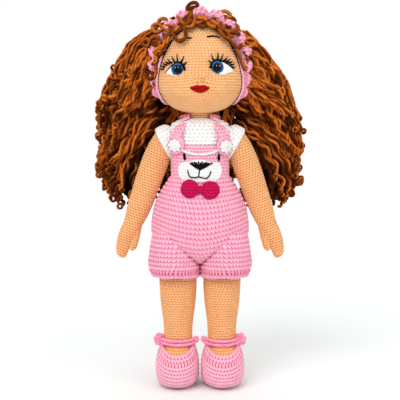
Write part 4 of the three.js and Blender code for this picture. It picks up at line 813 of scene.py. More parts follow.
# Overalls: the trunk's welts end in a crease that runs up and out from the crotch
CREASE_FOOT, CREASE_SLOPE, CREASE_SIDE = 117.6, 0.9, 31.0
WAIST_Z = 198.4
HIP_BEND_FROM, HIP_BEND_TO = frame_point(0, 0, 150), frame_point(0, 0, 112)


def crease_height(x):
    """Where the crease between trunk and leg runs, from the crotch up and out over the hip."""
    return CREASE_FOOT + CREASE_SLOPE * np.clip(np.abs(x) - 1.0, 0, CREASE_SIDE)


def crease_depth(x):
    """The crease is deep at the crotch and fades to the groove of a row at the side."""
    return np.interp(np.abs(x), [3, 24, 34], [0.75, 0.6, 0.25])


def sagging(angle):
    """Where the lowest row runs: low in the middle of the front and back, and higher at the sides."""
    return 0.5 + 18.0 * np.abs(np.cos(angle)) ** 1.6


def rolled_in(past, x):
    """How far fabric turns in near the crease and, past it, out of sight."""
    depth = crease_depth(x)
    soft = 3 + 5 * depth
    roll = np.clip(1 + past / soft, 0, 1)
    return np.minimum(soft * 0.6 * depth * (1 - np.sqrt(np.clip(1 - roll**2, 0, 1)))
                      + np.clip(past, 0, 12) * 0.7, 9.0)


def shape_seat(points, angle):
    """Rolls the trunk's lower edge in along the crease."""
    x = points[..., 0]
    inwards = rolled_in(crease_height(x) - points[..., 2], x)
    side = np.hypot(x * 0.8, points[..., 1])
    points[..., 0] -= inwards * x * 0.8 / side * 0.6
    points[..., 1] -= inwards * points[..., 1] / side
    return points


def shape_short_leg(points, angle):
    """The top of each leg rolls in under the trunk along the same crease."""
    x = points[..., 0]
    centre = np.array([LEG_X + 3, -1.5, 0])
    moved = points - centre
    inwards = rolled_in(points[..., 2] - crease_height(x) - 1.0, x)
    share = 1 - inwards / np.maximum(np.hypot(moved[..., 0], moved[..., 1]), 1)
    points[..., 0] = centre[0] + moved[..., 0] * share
    points[..., 1] = centre[1] + moved[..., 1] * share
    # The gap between the two legs of the overalls stays open
    points[..., 0] = np.maximum(points[..., 0], 0.15)
    # The hem waves a little
    points[..., 2] += 0.5 * np.sin(angle * 7)[None] * np.clip(1 - (points[..., 2] - 100) / 10, 0, 1)
    return points


crocheted("overalls_trunk", romper_form, sagging, romper_form.reach_of(WAIST_Z), WELT, pink_welt, "torso",
          ["romper_body"], shape=shape_seat, high_edge="hem", tuck=3.0, per_stitch=6, per_row=6)
for name, flip in SIDES:
    crocheted(f"overalls_leg_{name}", short_leg_form, 0.0, short_leg_form.length[-1], WELT, pink_hem_welt,
              ("torso", f"leg_{name}", HIP_BEND_FROM, HIP_BEND_TO), [f"romper_leg_{name}"],
              low_edge="hem", squareness=2.4, mirror=flip, per_stitch=6, per_row=6, shape=shape_short_leg)

# Chest panel: each piece on it is sewn at its own lift from the trunk
BIB_LIFT, PATCH_LIFT, MUZZLE_LIFT, PIPING_LIFT = 3.2, 5.2, 6.9, 6.0
BIB_HALF, BIB_LOW, BIB_HIGH, BIB_CORNER, BIB_STEP = 26.6, 196.0, 229.6, 7.0, 1.2


def chest_y(x, z, lift):
    """The y of a surface that stands a lift in front of the trunk."""
    _, a, b, _, _ = trunk_form.at(trunk_form.reach_of(z))
    return -(b + lift) * np.sqrt(np.clip(1 - (x / (a + lift)) ** 2, 0.02, 1))


def on_chest(lift):
    """That surface as a function for sewn_on."""
    return lambda x, z: chest_y(x, z, lift)


def bib_outline():
    """The panel's outline, square below and round at its upper corners, in short steps."""
    points = [(BIB_HALF, BIB_LOW), (BIB_HALF, BIB_HIGH - BIB_CORNER)]
    for q in np.linspace(0, math.pi / 2, 5)[1:]:
        points.append((BIB_HALF - BIB_CORNER + BIB_CORNER * math.cos(q),
                       BIB_HIGH - BIB_CORNER + BIB_CORNER * math.sin(q)))
    points += [(-x, z) for x, z in reversed(points)]
    full = []
    for (xa, za), (xb, zb) in zip(points, points[1:] + points[:1]):
        n = max(1, int(math.hypot(xb - xa, zb - za) / BIB_STEP))
        full += [(xa + (xb - xa) * k / n, za + (zb - za) * k / n) for k in range(n)]
    return full


def oval(cx, cz, wide, high, count=28, lobes=0, swell=0.0, turn=0.0):
    """An oval outline, with lobes where it has them."""
    q = np.arange(count) / count * 2 * math.pi
    r = 1 + swell * np.cos(lobes * q + turn)
    return np.column_stack([cx + wide * r * np.cos(q), cz + high * r * np.sin(q)])


def stitches_on(name, routes, radius, replaced):
    """Black threads over the muzzle, along routes of (x, z)."""
    lines = []
    for route in routes:
        line = walked(smooth_line([(x, 0, z) for x, z in route], 6), 0.7)
        line[:, 1] = chest_y(line[:, 0], line[:, 2], MUZZLE_LIFT)
        lines.append((line, radius, 0.5))
    return tubes(name, lines, black_thread, "torso", replaced, sides=6)


sewn_on("bib", bib_outline(), on_chest(BIB_LIFT), 2.0, pink_yarn, "torso", ["romper_bib"],
        rings=26, round_rows=False, stitch=3.1, sink=0.9)
MUZZLE = [(0, 195.4), (7, 195.0), (14, 196.3), (18.8, 200.2), (20.4, 205.8), (19.2, 211.4), (15.5, 213.9),
          (9, 214.2), (5, 215.8), (0, 216.6), (-6, 216), (-10, 214.4), (-15, 214.4), (-19.4, 211.4),
          (-20.6, 206), (-19.4, 200.8), (-15, 196.8), (-7.5, 195.2)]
sewn_on("muzzle", MUZZLE, on_chest(PATCH_LIFT), 1.5, muzzle_yarn, "torso", ["bear_muzzle"],
        rings=8, per_side=5, round_rows=False, stitch=3.0)
# The nose is satin stitch: threads that fan up from its foot, and a few across
NOSE_TOP = [(-9.3, 213.3), (-7.6, 214.2), (-5.4, 214.6), (-3.6, 214.0), (-1.6, 215.0), (0.4, 213.6),
            (2.2, 214.8), (4.2, 213.6), (6.2, 214.3), (8.0, 213.3), (11.4, 213.4)]
nose_fan = [[(x, z), (x * 0.62 - 0.1, 210.9 + 0.02 * abs(x)), (x * 0.12, 207.9)] for x, z in NOSE_TOP]
nose_fan += [[(-8.6, 212.9), (-4.2, 209.6), (-0.4, 207.5)], [(10.4, 213.0), (5.0, 209.8), (0.4, 207.5)],
             [(-5.5, 211.4), (-1, 209.2), (4.5, 211.2)], [(-3.4, 210.1), (0, 208.6), (3.4, 210)]]
stitches_on("nose_threads", nose_fan, 0.75, ["bear_nose"])
stitches_on("mouth_threads", [
    [(0.0, 207.6), (-0.9, 204.2), (-1.3, 200.6)],
    [(-11.4, 206.6), (-10.6, 203.0), (-8.8, 200.4), (-5, 200.0), (-1.3, 200.6)],
    [(10.1, 206.0), (9.0, 202.6), (6.2, 199.4), (2.6, 199.9), (-1.3, 200.6)]], 0.62, ["bear_mouth"])
for name, x, z, lean in (("left", 17.6, 218.2, 0.0), ("right", -14.4, 219.0, -0.5)):
    outline = [(x + lean * math.sin(q) + 1.3 * math.cos(q), z + 3.6 * math.sin(q))
               for q in np.linspace(0, 2 * math.pi, 19)[:-1]]
    sewn_on(f"badge_eye_{name}", outline, on_chest(PATCH_LIFT), 1.1, black_thread, "torso",
            [f"bear_eye_{name}"], rings=4)

# White line between the ears: two strands twisted together, sagging in the middle
PIPING_HALF, PIPING_LOW, PIPING_RISE = 20.5, 221.4, 6.3
line = np.array([(x, 0, PIPING_LOW + PIPING_RISE * (abs(x) / PIPING_HALF) ** 2.4)
                 for x in np.linspace(-PIPING_HALF, PIPING_HALF, 60)])
line[:, 1] = chest_y(line[:, 0], line[:, 2], PIPING_LIFT)
piping = []
for start in (0, math.pi):
    q = np.arange(len(line)) * 1.15 + start
    piping.append((line + np.column_stack([0 * q, np.cos(q) * 0.55, np.sin(q) * 0.55]), 0.85, 0.5))
tubes("bib_piping_cord", piping, white_thread, "torso", ["bib_piping"], sides=7)

# Ears with their puffs, and the shoulder straps that end under them
for name, x, z in (("left", 24.4, 228.8), ("right", -23.6, 229.8)):
    sewn_on(f"ear_{name}", oval(x, z, 9.3, 9.4, 36), on_chest(5.8), 2.4, pink_yarn, "torso",
            [f"bear_ear_{name}"], rings=8, stitch=3.0, puff=0.6, sink=1.2)
    sewn_on(f"ear_tuft_{name}", oval(x, z - 0.6, 5.6, 5.6, 56, 8, 0.13), on_chest(8.6), 1.8, muzzle_yarn,
            "torso", [f"ear_puff_{name}"], rings=7, ribs=8, puff=1.4, sink=1.0)

STRAP_HALF, STRAP_THICK, STRAP_STEP = 5.5, 1.25, 0.62
STRAP_FRONT = [  # x, z and lift from the trunk, upwards
    (22.6, 226, 7.2), (22.0, 234, 6.0), (20.6, 241, 5.6), (18.2, 246.6, 5.0), (15.6, 250.6, 4.4)]
STRAP_OVER = [(14.2, -9.0, 254.4), (13.6, -3.5, 256.0), (13.8, 3.5, 255.8), (14.8, 10.5, 253.2)]
STRAP_BACK = [  # x, z and lift from the trunk, downwards
    (16.6, 248.6, 4.6), (17.6, 241, 5.0), (17.4, 228, 5.0), (16.6, 212, 5.2), (15.6, 197, 6.4)]


def strap_line():
    """A strap's middle line, from the panel over the shoulder to the back of the waist."""
    front = [(x, float(chest_y(x, z, lift)), z) for x, z, lift in STRAP_FRONT]
    back = [(x, float(-chest_y(x, z, lift)), z) for x, z, lift in STRAP_BACK]
    return walked(smooth_line(front + STRAP_OVER + back, 10), STRAP_STEP)


def rounded(turn, half, power):
    """One measure of a rounded oblong section at an angle's cosine or sine."""
    return np.sign(turn) * np.abs(turn) ** power * half


def strap(name, flip):
    """A flat crocheted band along the strap's line, its stitches on the outer face."""
    path = strap_line()
    way = unit(np.gradient(path, axis=0))
    out = path - np.array([0, 0, 232.0])
    out[:, 0] *= 0.55
    out = unit(out - way * (out * way).sum(axis=1, keepdims=True))
    cols = 26
    q = np.arange(cols) / cols * 2 * math.pi
    wide = rounded(np.cos(q), STRAP_HALF, 0.5)
    along = np.arange(len(path)) * STRAP_STEP / 3.0
    across = wide / 3.4
    relief = stitch_relief(across[None] + 0.5, along[:, None], 0.2)
    thick = rounded(np.sin(q), STRAP_THICK, 0.7)[None] + (np.sin(q) > 0.1)[None] * 0.7 * (relief - 0.5)
    points = beside(path, np.cross(way, out), wide[None], out, thick)
    _, i, j = grid_faces(len(path), cols)
    uv = corner_uvs(across[j], across[(j + 1) % cols], along[i], along[i + 1])
    return swept(f"shoulder_strap_{name}", points, uv, pink_yarn, "torso", [f"strap_{name}"], flip)


for name, flip in SIDES:
    strap(name, flip)

# Bow: two round lobes and a knot over their meeting
for name, x, z, turn in (("left", 9.6, 188.4, 0.4), ("right", -9.4, 189.6, 1.4)):
    sewn_on(f"bow_lobe_{name}", oval(x, z, 8.7, 8.5, 40, 3, 0.02, turn), on_chest(7.2), 3.0, crimson_yarn,
            "torso", ["bow"] if name == "left" else (), rings=10, stitch=2.9, puff=0.8,
            sink=2.0, round_rows=False)
KNOT_Z = 189.2
knot = [(3.4, 2.2), (1.4, 3.4), (-1.4, 3.4), (-3.4, 2.4), (-3.2, -2.4), (-1.2, -3.4), (1.2, -3.4),
        (3.2, -2.6)]
sewn_on("bow_middle", [(x, z + KNOT_Z) for x, z in knot], on_chest(9.4), 2.0, crimson_yarn, "torso",
        ["bow_knot"], rings=5, per_side=4, stitch=2.6, sink=2.4)

# Shoes
SHOE_X = 21.6
SHOE_LEVELS = [  # height, half width, and the y of toe and heel
    (0.0, 12.6, -22.5, 15.5), (1.2, 14.6, -27.5, 17.4), (3.0, 16.8, -32.5, 19.0), (5.5, 18.6, -36.6, 20.0),
    (9.0, 19.8, -39.2, 20.8), (14.0, 20.4, -40.2, 21.0), (21.0, 20.4, -39.2, 21.0),
    (28.0, 19.5, -34.6, 20.6), (33.4, 17.8, -27.2, 19.4), (37.6, 16.0, -19.0, 17.6),
    (40.4, 14.9, -15.4, 16.4)]
SHOE_WALL, SHOE_RIM, SHOE_DIP = 4.4, 40.0, 9.2
shoe_form = Form([(z, w, (heel - toe) / 2, SHOE_X, (heel + toe) / 2) for z, w, toe, heel in SHOE_LEVELS])
foot_form = Form([(z + 0.5, w - SHOE_WALL, (heel - toe) / 2 - SHOE_WALL, SHOE_X, (heel + toe) / 2)
                  for z, w, toe, heel in SHOE_LEVELS[2:-1]] + [(41.5, 6, 6, SHOE_X, 0)])
INSOLE_WIDE, INSOLE_LONG, INSOLE_THICK = 13.0, 22.4, 1.4
STRAP_CORDS = ((43.2, 15.6, 0.4), (40.2, 16.4, 1.2))  # height, distance from the leg's middle, and sag
CORD_RADIUS = 1.6
BUTTON_AT, BUTTON_RING = (LEG_X + 17.8, -4.5, 42.7), 3.5
BEAD_AT, BEAD_RING = (LEG_X - 17.0, -3.6, 42.3), 1.9


def shoe_mouth(angle):
    """The rim is low over the instep and high at the sides and heel."""
    front = np.clip(-np.sin(angle), 0, 1)
    dip = np.clip((front - 0.35) / 0.65, 0, 1) ** 0.8
    return shoe_form.reach_of(SHOE_RIM) - SHOE_DIP * dip


def insole_board(name, flip):
    """A flat oval of card inside the shoe, under the foot."""
    bpy.ops.object.select_all(action="DESELECT")
    bpy.ops.mesh.primitive_cylinder_add(vertices=64, radius=MM, depth=INSOLE_THICK * MM,
                                        location=frame_point(-SHOE_X if flip else SHOE_X, -6.4, 2.6))
    board = bpy.context.active_object
    board.name = f"insole_board_{name}"
    board.scale = (INSOLE_WIDE, INSOLE_LONG, 1.0)
    bpy.ops.object.transform_apply(location=True, rotation=True, scale=True)
    board.data.materials.append(insole_card)
    finish_piece(board, f"leg_{name}", [f"insole_{name}"])


def strap_cords():
    """The two cords that cross the instep, one above the other."""
    cords = []
    for z, out, sag in STRAP_CORDS:
        ankle = np.linspace(math.radians(200), math.radians(340), 26)
        points = [(LEG_X + math.cos(q) * out * 1.03, math.sin(q) * out, z - sag * (-math.sin(q) - 0.3))
                  for q in ankle]
        points = walked(smooth_line(points, 4), 0.6)
        cords.append((points, CORD_RADIUS + 0.14 * np.sin(np.arange(len(points)) * 0.9 * 2), 0.5))
    return cords


def loop_about(middle, first, second, radius):
    """A closed loop of cord around a middle, in the plane of two directions."""
    w = np.linspace(0, 2 * math.pi, 14)
    return np.array(middle) + np.outer(np.cos(w), first) * radius + np.outer(np.sin(w), second) * radius


def button_loops():
    """Six small loops in a ring, as a looped flower."""
    loops = []
    for k in range(6):
        q = k / 6 * 2 * math.pi + 0.3
        c, s = math.cos(q), math.sin(q)
        middle = np.array(BUTTON_AT) + np.array((c * BUTTON_RING * 0.85, -c * 1.2, s * BUTTON_RING))
        loops.append((loop_about(middle, (c * 0.85, -0.3 * c, s), (-s * 0.85, 0.3 * s, c), 1.7), 1.5, 0.4))
    return loops


def bead_loops():
    """Three loops through one another, as a round knot."""
    tilts = [k * math.pi / 3 for k in range(3)]
    return [(loop_about(BEAD_AT, (math.cos(q), 0.2, math.sin(q)), (-0.3 * math.sin(q), 0.9, 0.3), BEAD_RING),
             1.5, 0.4) for q in tilts]


for name, flip in SIDES:
    leg = f"leg_{name}"
    crocheted(f"shoe_upper_{name}", shoe_form, 0.3, shoe_mouth, SHOE_FABRIC, shoe_yarn, leg,
              [f"shoe_{name}"], mirror=flip, high_edge="hem", tuck=6.0)
    crocheted(f"foot_{name}", foot_form, 0.0, foot_form.length[-1], SINGLE, skin_yarn, leg, (),
              mirror=flip)
    insole_board(name, flip)
    tubes(f"shoe_cords_{name}", strap_cords(), pink_thread, leg, [f"shoe_strap_{name}"], sides=9,
          mirror=flip)
    tubes(f"shoe_button_{name}", button_loops(), pink_thread, leg, [f"shoe_flower_{name}"],
          sides=8, mirror=flip)
    tubes(f"shoe_bead_{name}", bead_loops(), pink_thread, leg, (), sides=8, mirror=flip)


# Eyes, lashes, brows and lips
def eye_dome(name, x, z):
    """A push-in eye's dome, turned to sit on the slope of the face."""
    centre = frame_point(x, float(face_y(np.array(x), np.array(z))) + 0.2, z)
    bpy.ops.object.select_all(action="DESELECT")
    bpy.ops.mesh.primitive_uv_sphere_add(segments=40, ring_count=24, radius=MM, location=centre,
                                         rotation=(0, 0, math.copysign(math.radians(EYE_TURN), x)),
                                         scale=(EYE_RADIUS, EYE_DOME, EYE_RADIUS))
    bpy.ops.object.transform_apply(location=True, rotation=True, scale=True)
    made = bpy.context.active_object
    made.name = f"eye_dome_{name}"
    bpy.ops.object.shade_smooth()
    made.data.materials.append(safety_eye(f"acrylic_eye_{name}", centre))
    finish_piece(made, "head", [f"eye_{name}"])


def strokes_on_face(name, strokes, lift, look, replaced):
    """Threads over the face, each thick at its start and thin at its end."""
    lines = []
    for points, thick in strokes:
        line = walked(smooth_line([(x, 0, z) for x, z in points], 8), 0.45)
        line[:, 1] = face_y(line[:, 0], line[:, 2]) - lift
        share = np.linspace(0, 1, len(line))
        lines.append((line, thick * (1 - 0.82 * share) + 0.05, 0.5))
    return tubes(name, lines, look, "head", replaced, sides=6)


LASHES = [  # degrees from upright, distance of the root from the eye's middle, length, and bend in degrees
    (-52, 6.6, 3.6, 8), (-24, 6.4, 6.4, -4), (4, 6.3, 7.6, 4), (26, 6.6, 6.6, 6), (46, 8.0, 6.0, 10),
    (58, 9.6, 5.4, 12), (68, 11.2, 5.0, 14), (78, 12.6, 4.6, 16), (88, 13.6, 4.0, 20)]


def lash_set(eye, side, lid):
    """The lid's line, and lashes that fan out from it; side is 1 where the outer corner is at +x."""
    def reached(start, degrees, far):
        way = math.radians(degrees)
        return start[0] + side * math.sin(way) * far, start[1] + math.cos(way) * far

    strokes = [(lid, 1.15)]
    for degrees, start, long, bend in LASHES:
        root = reached(eye, degrees, start)
        middle = reached(root, degrees + bend * 0.6, long * 0.55)
        strokes.append(([root, middle, reached(middle, degrees - bend, long * 0.5)], 1.05))
    return strokes


EYE_WHITES = {
    "left": [(17.0, 295.8), (21.5, 294.6), (26.0, 296.0), (31.3, 298.2), (28.6, 301.4), (25.0, 304.6),
             (20.5, 306.4), (17.0, 305.6)],
    "right": [(-21.5, 304.4), (-25.0, 302.4), (-28.6, 299.6), (-31.6, 295.6), (-26.4, 294.6), (-21.4, 293.4)],
}
LIDS = {
    "left": [(9.6, 300.4), (10.6, 304.4), (14.6, 307.4), (20.0, 306.6), (25.6, 303.6), (31.6, 298.4)],
    "right": [(-13.8, 298.6), (-15.6, 303.0), (-20.2, 305.6), (-25.2, 303.0), (-29.0, 299.4), (-32.2, 295.4)],
}
BROWS = {
    "left": [([(6.6, 328.6), (11.6, 329.7), (18.6, 328.6)], 0.7),
             ([(18.0, 328.3), (12.0, 328.9), (8.6, 328.2)], 0.5)],
    "right": [([(-7.4, 327.4), (-11.6, 328.0), (-17.6, 326.8)], 0.6),
              ([(-18.0, 326.7), (-12.0, 327.3), (-8.6, 326.6)], 0.5)],
}
LIPS = [(8.8, 282.3), (5.0, 284.4), (2.2, 284.9), (0.2, 284.4), (-1.8, 284.9), (-4.8, 284.4), (-9.2, 282.3),
        (-5.0, 279.2), (-1.6, 278.0), (2.0, 278.0), (5.2, 279.2)]
LIP_LINE = [(-7.6, 282.2), (-3, 281.6), (0.2, 282.0), (3.4, 281.6), (7.2, 282.2)]
NOSTRILS = [[(-2.6, 286.4), (-2.0, 287.0)], [(2.6, 287.2), (3.2, 286.6)]]

for name, (x, z) in EYES.items():
    eye_dome(name, x, z)
for name, outline in EYE_WHITES.items():
    sewn_on(f"eye_white_patch_{name}", outline, face_y, 0.8, white_felt, "head", [f"eye_white_{name}"],
            rings=5, per_side=4)
for name, outwards in (("left", 1), ("right", -1)):
    strokes_on_face(f"lash_strokes_{name}", lash_set(EYES[name], outwards, LIDS[name]), 1.0, lash_thread,
                    [f"lashes_{name}"])
for name, strokes in BROWS.items():
    strokes_on_face(f"brow_{name}", strokes, 0.7, lash_thread, [f"eyebrow_{name}"])
sewn_on("lips_patch", LIPS, face_y, 0.9, red_thread, "head", ["lips"], rings=5, per_side=4,
        puff=0.4)
strokes_on_face("lips_line", [(LIP_LINE, 0.3)], 1.1, lip_line_thread, ())
# Painted shade at the nostrils: two short strokes of that thread
strokes_on_face("nostril_painted_shade", [(line, 0.55) for line in NOSTRILS], 0.25, nostril_shade_thread, ())

# Headband: a strip over the head behind the hairline and round the nape, with a scalloped frill on it
BAND_FORWARD, BAND_LEAN, BAND_HALF, BAND_THICK = -3.5, math.radians(9), 5.0, 1.2
SKULL_MIDDLE = HEAD_BASE + HEAD_RISE / 2
NAPE_Z = 271.3
FRILL_FROM = 273.0
SHELL_WIDE = 12.5
BAND_STITCH = 3.2


def skull_normal(points):
    """The outward direction of the skull at points near its surface."""
    def reach(p):
        _, a, b, cx, cy = head_form.at(head_form.reach_of(p[:, 2]))
        return np.hypot((p[:, 0] - cx) / a, (p[:, 1] - cy) / b)
    return unit(np.stack([reach(points + step) - reach(points - step) for step in np.eye(3) * 0.8], axis=1))


def band_route():
    """The band's closed line on the skull, from the nape's middle round the doll's left and over the top."""
    z = np.linspace(NAPE_Z, HEAD_BASE + HEAD_RISE - 0.4, 900)
    _, a, b, _, cy = head_form.at(head_form.reach_of(z))
    y = BAND_FORWARD - (z - SKULL_MIDDLE) * math.tan(BAND_LEAN)
    inside = 1 - ((y - cy) / b) ** 2
    z, y, x = z[inside > 0], y[inside > 0], (a * np.sqrt(np.clip(inside, 0, 1)))[inside > 0]
    x[-1] = 0
    left = np.column_stack([x, y, z])
    right = left[::-1] * [-1, 1, 1]
    start = math.atan2(y[0] / np.interp(NAPE_Z, z, b[:len(z)]), x[0] / np.interp(NAPE_Z, z, a[:len(z)]))
    q = np.linspace(math.pi / 2, start, 60)
    _, na, nb, _, _ = head_form.at(head_form.reach_of(NAPE_Z))
    nape = np.column_stack([na * np.cos(q), nb * np.sin(q), np.full(60, NAPE_Z)])
    route = walked(np.vstack([nape[:-1], left, right[1:], (nape * [-1, 1, 1])[::-1][1:]]), 1.0)[:-1]
    # A short running mean rounds the corners at the nape
    kernel = np.ones(13) / 13
    return np.column_stack([np.convolve(np.r_[route[-6:, k], route[:, k], route[:6, k]], kernel, "valid")
                            for k in range(3)])


def band_frame():
    """The band's line with its outward, lengthwise and sideways directions."""
    route = band_route()
    normal = skull_normal(route)
    along = np.roll(route, -1, 0) - np.roll(route, 1, 0)
    along /= np.linalg.norm(along, axis=1, keepdims=True)
    across = np.cross(normal, along)
    across /= np.linalg.norm(across, axis=1, keepdims=True)
    return route, normal, along, across


band_line, band_out, band_along, band_across = band_frame()


def band_strip():
    """The closed strip itself, single crochet on its outer face."""
    steps, cols = len(band_line), 22
    w = np.arange(cols) / cols * 2 * math.pi
    deep = rounded(np.cos(w), BAND_HALF, 0.6)
    thick = rounded(np.sin(w), BAND_THICK, 0.8)
    rows = deep / BAND_STITCH + 40
    height = stitch_relief(np.arange(steps)[:, None] / BAND_STITCH, rows[None], 0.0)
    lift = 2.2 + thick[None] - 1.0 * np.cos(w)[None] ** 2 + 0.7 * (height - 0.5) * (np.sin(w) > 0)[None]
    points = beside(band_line, band_out, lift, band_across, deep[None])
    i, j = np.meshgrid(np.arange(steps), np.arange(cols), indexing="ij")
    i, j = i.ravel(), j.ravel()
    ni, nj = (i + 1) % steps, (j + 1) % cols
    quads = np.column_stack([i * cols + j, ni * cols + j, ni * cols + nj, i * cols + nj])
    uv = corner_uvs(i / BAND_STITCH, (i + 1) / BAND_STITCH, rows[j], rows[nj])
    piece("headband_strip", points.reshape(-1, 3), [quads[:, ::-1]], [uv[:, ::-1]], pink_yarn, "head",
          ["headband"])


def band_frill():
    """Shell stitches that fan out over the top, each a rounded scallop."""
    top = np.nonzero(band_line[:, 2] > FRILL_FROM)[0]
    base, out, aside = band_line[top], band_out[top], band_across[top]
    count = len(top)
    step = np.arange(count)
    phase = step / (count - 1) * int(round(count / SHELL_WIDE))
    bulge = np.abs(np.sin(np.pi * phase)) ** 0.55
    ends = np.clip(np.minimum(step, count - 1 - step) / 7, 0.1, 1)
    tall = (5.4 + 7.4 * bulge) * ends * np.interp(base[:, 2], [285, 312], [0.45, 1])
    w = np.linspace(0, 2 * math.pi, 25)[:-1]
    cols = len(w)
    up = 0.5 - 0.5 * np.cos(w)
    fan = phase[:, None] * 4 + np.round(up * 2)[None] * 0.5
    stitch = 0.35 * np.cos(2 * math.pi * fan) * up[None]
    wide = (1.6 + 3.2 * bulge[:, None] * up[None] ** 0.7) * np.sin(w)[None]
    wave = 1.7 * np.cos(np.pi * phase)[:, None] * up[None]
    rise = 2.4 + tall[:, None] * up[None] ** 0.85 + stitch * (up[None] > 0.6)
    lean = -0.6 + wide + stitch * np.sign(np.sin(w))[None] + wave
    points = beside(base, out, rise, aside, lean)
    _, i, j = grid_faces(count, cols)
    rows = up * 2.4
    # The stitches stand along the band, so each corner's two coordinates change places
    uv = corner_uvs(rows[j], rows[(j + 1) % cols], phase[i] * 3.5, phase[i + 1] * 3.5)[..., ::-1]
    swept("headband_frill", points, uv, pink_welt, "head")


band_strip()
band_frill()


# Hair
STRAND = 1.85
STRAND_GAP = 0.6
INSET = STRAND + STRAND_GAP  # how far a strand's middle stays inside the hair's outline
HAIR_WIDE, HAIR_DEEP, BACK_WIDE, BACK_DEEP, BACK_REACH = 103.0, 15.0, 41.0, 24.0, 47.0
ARM_BACK = 16.5  # the arms' rear, which the hair stays behind
SHOULDER_Z = 254.0
HAIR_TOP, NAPE_TOP = 351, 274
SIDE_HAIR = np.array([  # height above the chin in head heights, inner and outer edge, half depth, middle
    (-1.09, 0.6, 0.75, 0.25, 1.6), (-0.96, 0.49, 0.86, 0.5, 1.6), (-0.81, 0.42, 0.945, 0.62, 1.6),
    (-0.5, 0.36, 0.995, 0.68, 1.6), (-0.2, 0.31, 0.99, 0.7, 1.6), (0.1, 0.29, 0.96, 0.85, 1.15),
    (0.46, 0.28, 0.815, 0.95, 0.95), (0.78, 0.18, 0.65, 0.95, 0.85), (0.95, 0.08, 0.495, 0.8, 0.8),
    (1.05, 0.13, 0.37, 0.5, 0.85), (1.08, 0.2, 0.28, 0.2, 0.9)])
BACK_HAIR = np.array([  # height, half width, depth and rearmost reach in shares
    (-1.17, 0.7, 0.18, 0.91), (-0.93, 1, 0.3, 0.94), (-0.5, 1, 0.66, 0.94), (0, 0.94, 0.92, 0.97),
    (0.5, 0.92, 1, 1), (0.86, 0.8, 1, 0.86), (1.04, 0.5, 0.66, 0.62), (1.09, 0.2, 0.25, 0.46)])
OUTER_REACH = np.array([  # height, and how far the hair reaches to the doll's right and to its left
    (228, 104, 104), (246, 104, 98), (264, 103, 87), (286, 98, 80), (300, 89, 71), (309, 82, 64),
    (318, 73, 57), (326, 63, 50), (336, 47, 40), (345, 30, 26), (352, 16, 13)])


def side_hair_at(z):
    """Inner and outer edge, middle and half depth of the side hair at a height."""
    up = (np.asarray(z) - HEAD_BASE) / HEAD_RISE
    inner, outer, thick, back = (np.interp(up, SIDE_HAIR[:, 0], SIDE_HAIR[:, k]) for k in (1, 2, 3, 4))
    depth = thick * HAIR_DEEP
    middle = back * HAIR_DEEP
    middle = np.where(up < 0, np.maximum(middle, ARM_BACK + depth), middle)
    return inner * HAIR_WIDE, outer * HAIR_WIDE, middle, depth


def back_hair_at(z):
    """Half width, rearmost y and depth of the back hair at a height."""
    up = (np.asarray(z) - HEAD_BASE) / HEAD_RISE
    wide, deep, reach = (np.interp(up, BACK_HAIR[:, 0], BACK_HAIR[:, k]) for k in (1, 2, 3))
    return wide * BACK_WIDE, reach * BACK_REACH, deep * BACK_DEEP


def crown_height(x, y):
    """The height of the skull above a point of the plan."""
    z = np.linspace(HEAD_BASE + 0.3 * HEAD_RISE, HEAD_BASE + HEAD_RISE, 240)
    _, a, b, cx, cy = head_form.at(head_form.reach_of(z))
    under = z[np.hypot((x - cx) / a, (y - cy) / b) <= 1]
    return under.max() if len(under) else z[0]


def outside_head(points, lift):
    """Pushes points out of the head to a distance from it, and keeps them behind the band and the arms."""
    z = points[:, 2]
    _, a, b, _, _ = head_form.at(head_form.reach_of(z))
    share = np.hypot(points[:, 0] / (a + lift), points[:, 1] / (b + lift))
    inside = (share < 1) & (z < HEAD_BASE + HEAD_RISE) & (z > HEAD_BASE)
    push = np.where(inside, 1 / np.maximum(share, 0.05), 1)
    out = points.copy()
    out[:, 0] *= push
    out[:, 1] *= push
    behind = BAND_FORWARD - (z - SKULL_MIDDLE) * math.tan(BAND_LEAN) + 8.5
    out[:, 1] = np.where(z > NAPE_Z - 6, np.maximum(out[:, 1], behind), out[:, 1])
    out[:, 1] = np.where(z < SHOULDER_Z + 2, np.maximum(out[:, 1], ARM_BACK + 1.4), out[:, 1])
    return out


def curled(points, wave, swing, tail, ring):
    """A strand that waves as it goes and ends in a tight crimp with a small ring; gives points and radii."""
    step = 1.5
    p = walked(points, step)
    way = unit(np.gradient(p, axis=0))
    a = unit(np.cross(way, [0.12, 1.0, 0.2]))
    b = np.cross(way, a)
    s = np.arange(len(p)) * step
    end = np.clip((s - (s[-1] - tail)) / max(tail * 0.35, 1), 0, 1)
    begin = np.clip(s / 14, 0, 1)
    slow = 2 * math.pi * s / wave + rng.uniform(0, 6.28)
    fast = 2 * math.pi * s / 6.4
    p = (p + a * (np.cos(slow) * swing * begin * (1 - 0.5 * end) + np.cos(fast) * 1.5 * end)[:, None]
         + b * (np.sin(slow * 0.8) * swing * 0.6 * begin * (1 - end) + np.sin(fast) * 1.5 * end)[:, None])
    thin = 1 - 0.2 * end
    if ring:
        w = np.linspace(0, 2 * math.pi * 0.97, 13)
        tip, way = p[-1], unit(p[-1] - p[-4])
        sideways = unit(np.cross(way, [0, 1.0, 0.15])) * rng.choice([-1, 1])
        r = rng.uniform(2.3, 2.8)
        p = np.vstack([p, tip + np.outer(np.sin(w), way) * r + np.outer(1 - np.cos(w), sideways) * r])
        thin = np.r_[thin, np.full(13, 0.74)]
    at = np.r_[0, np.cumsum(np.linalg.norm(np.diff(p, axis=0), axis=1))]
    made = walked(p, 1.45)
    return made, np.interp(np.linspace(0, at[-1], len(made)), at, thin)


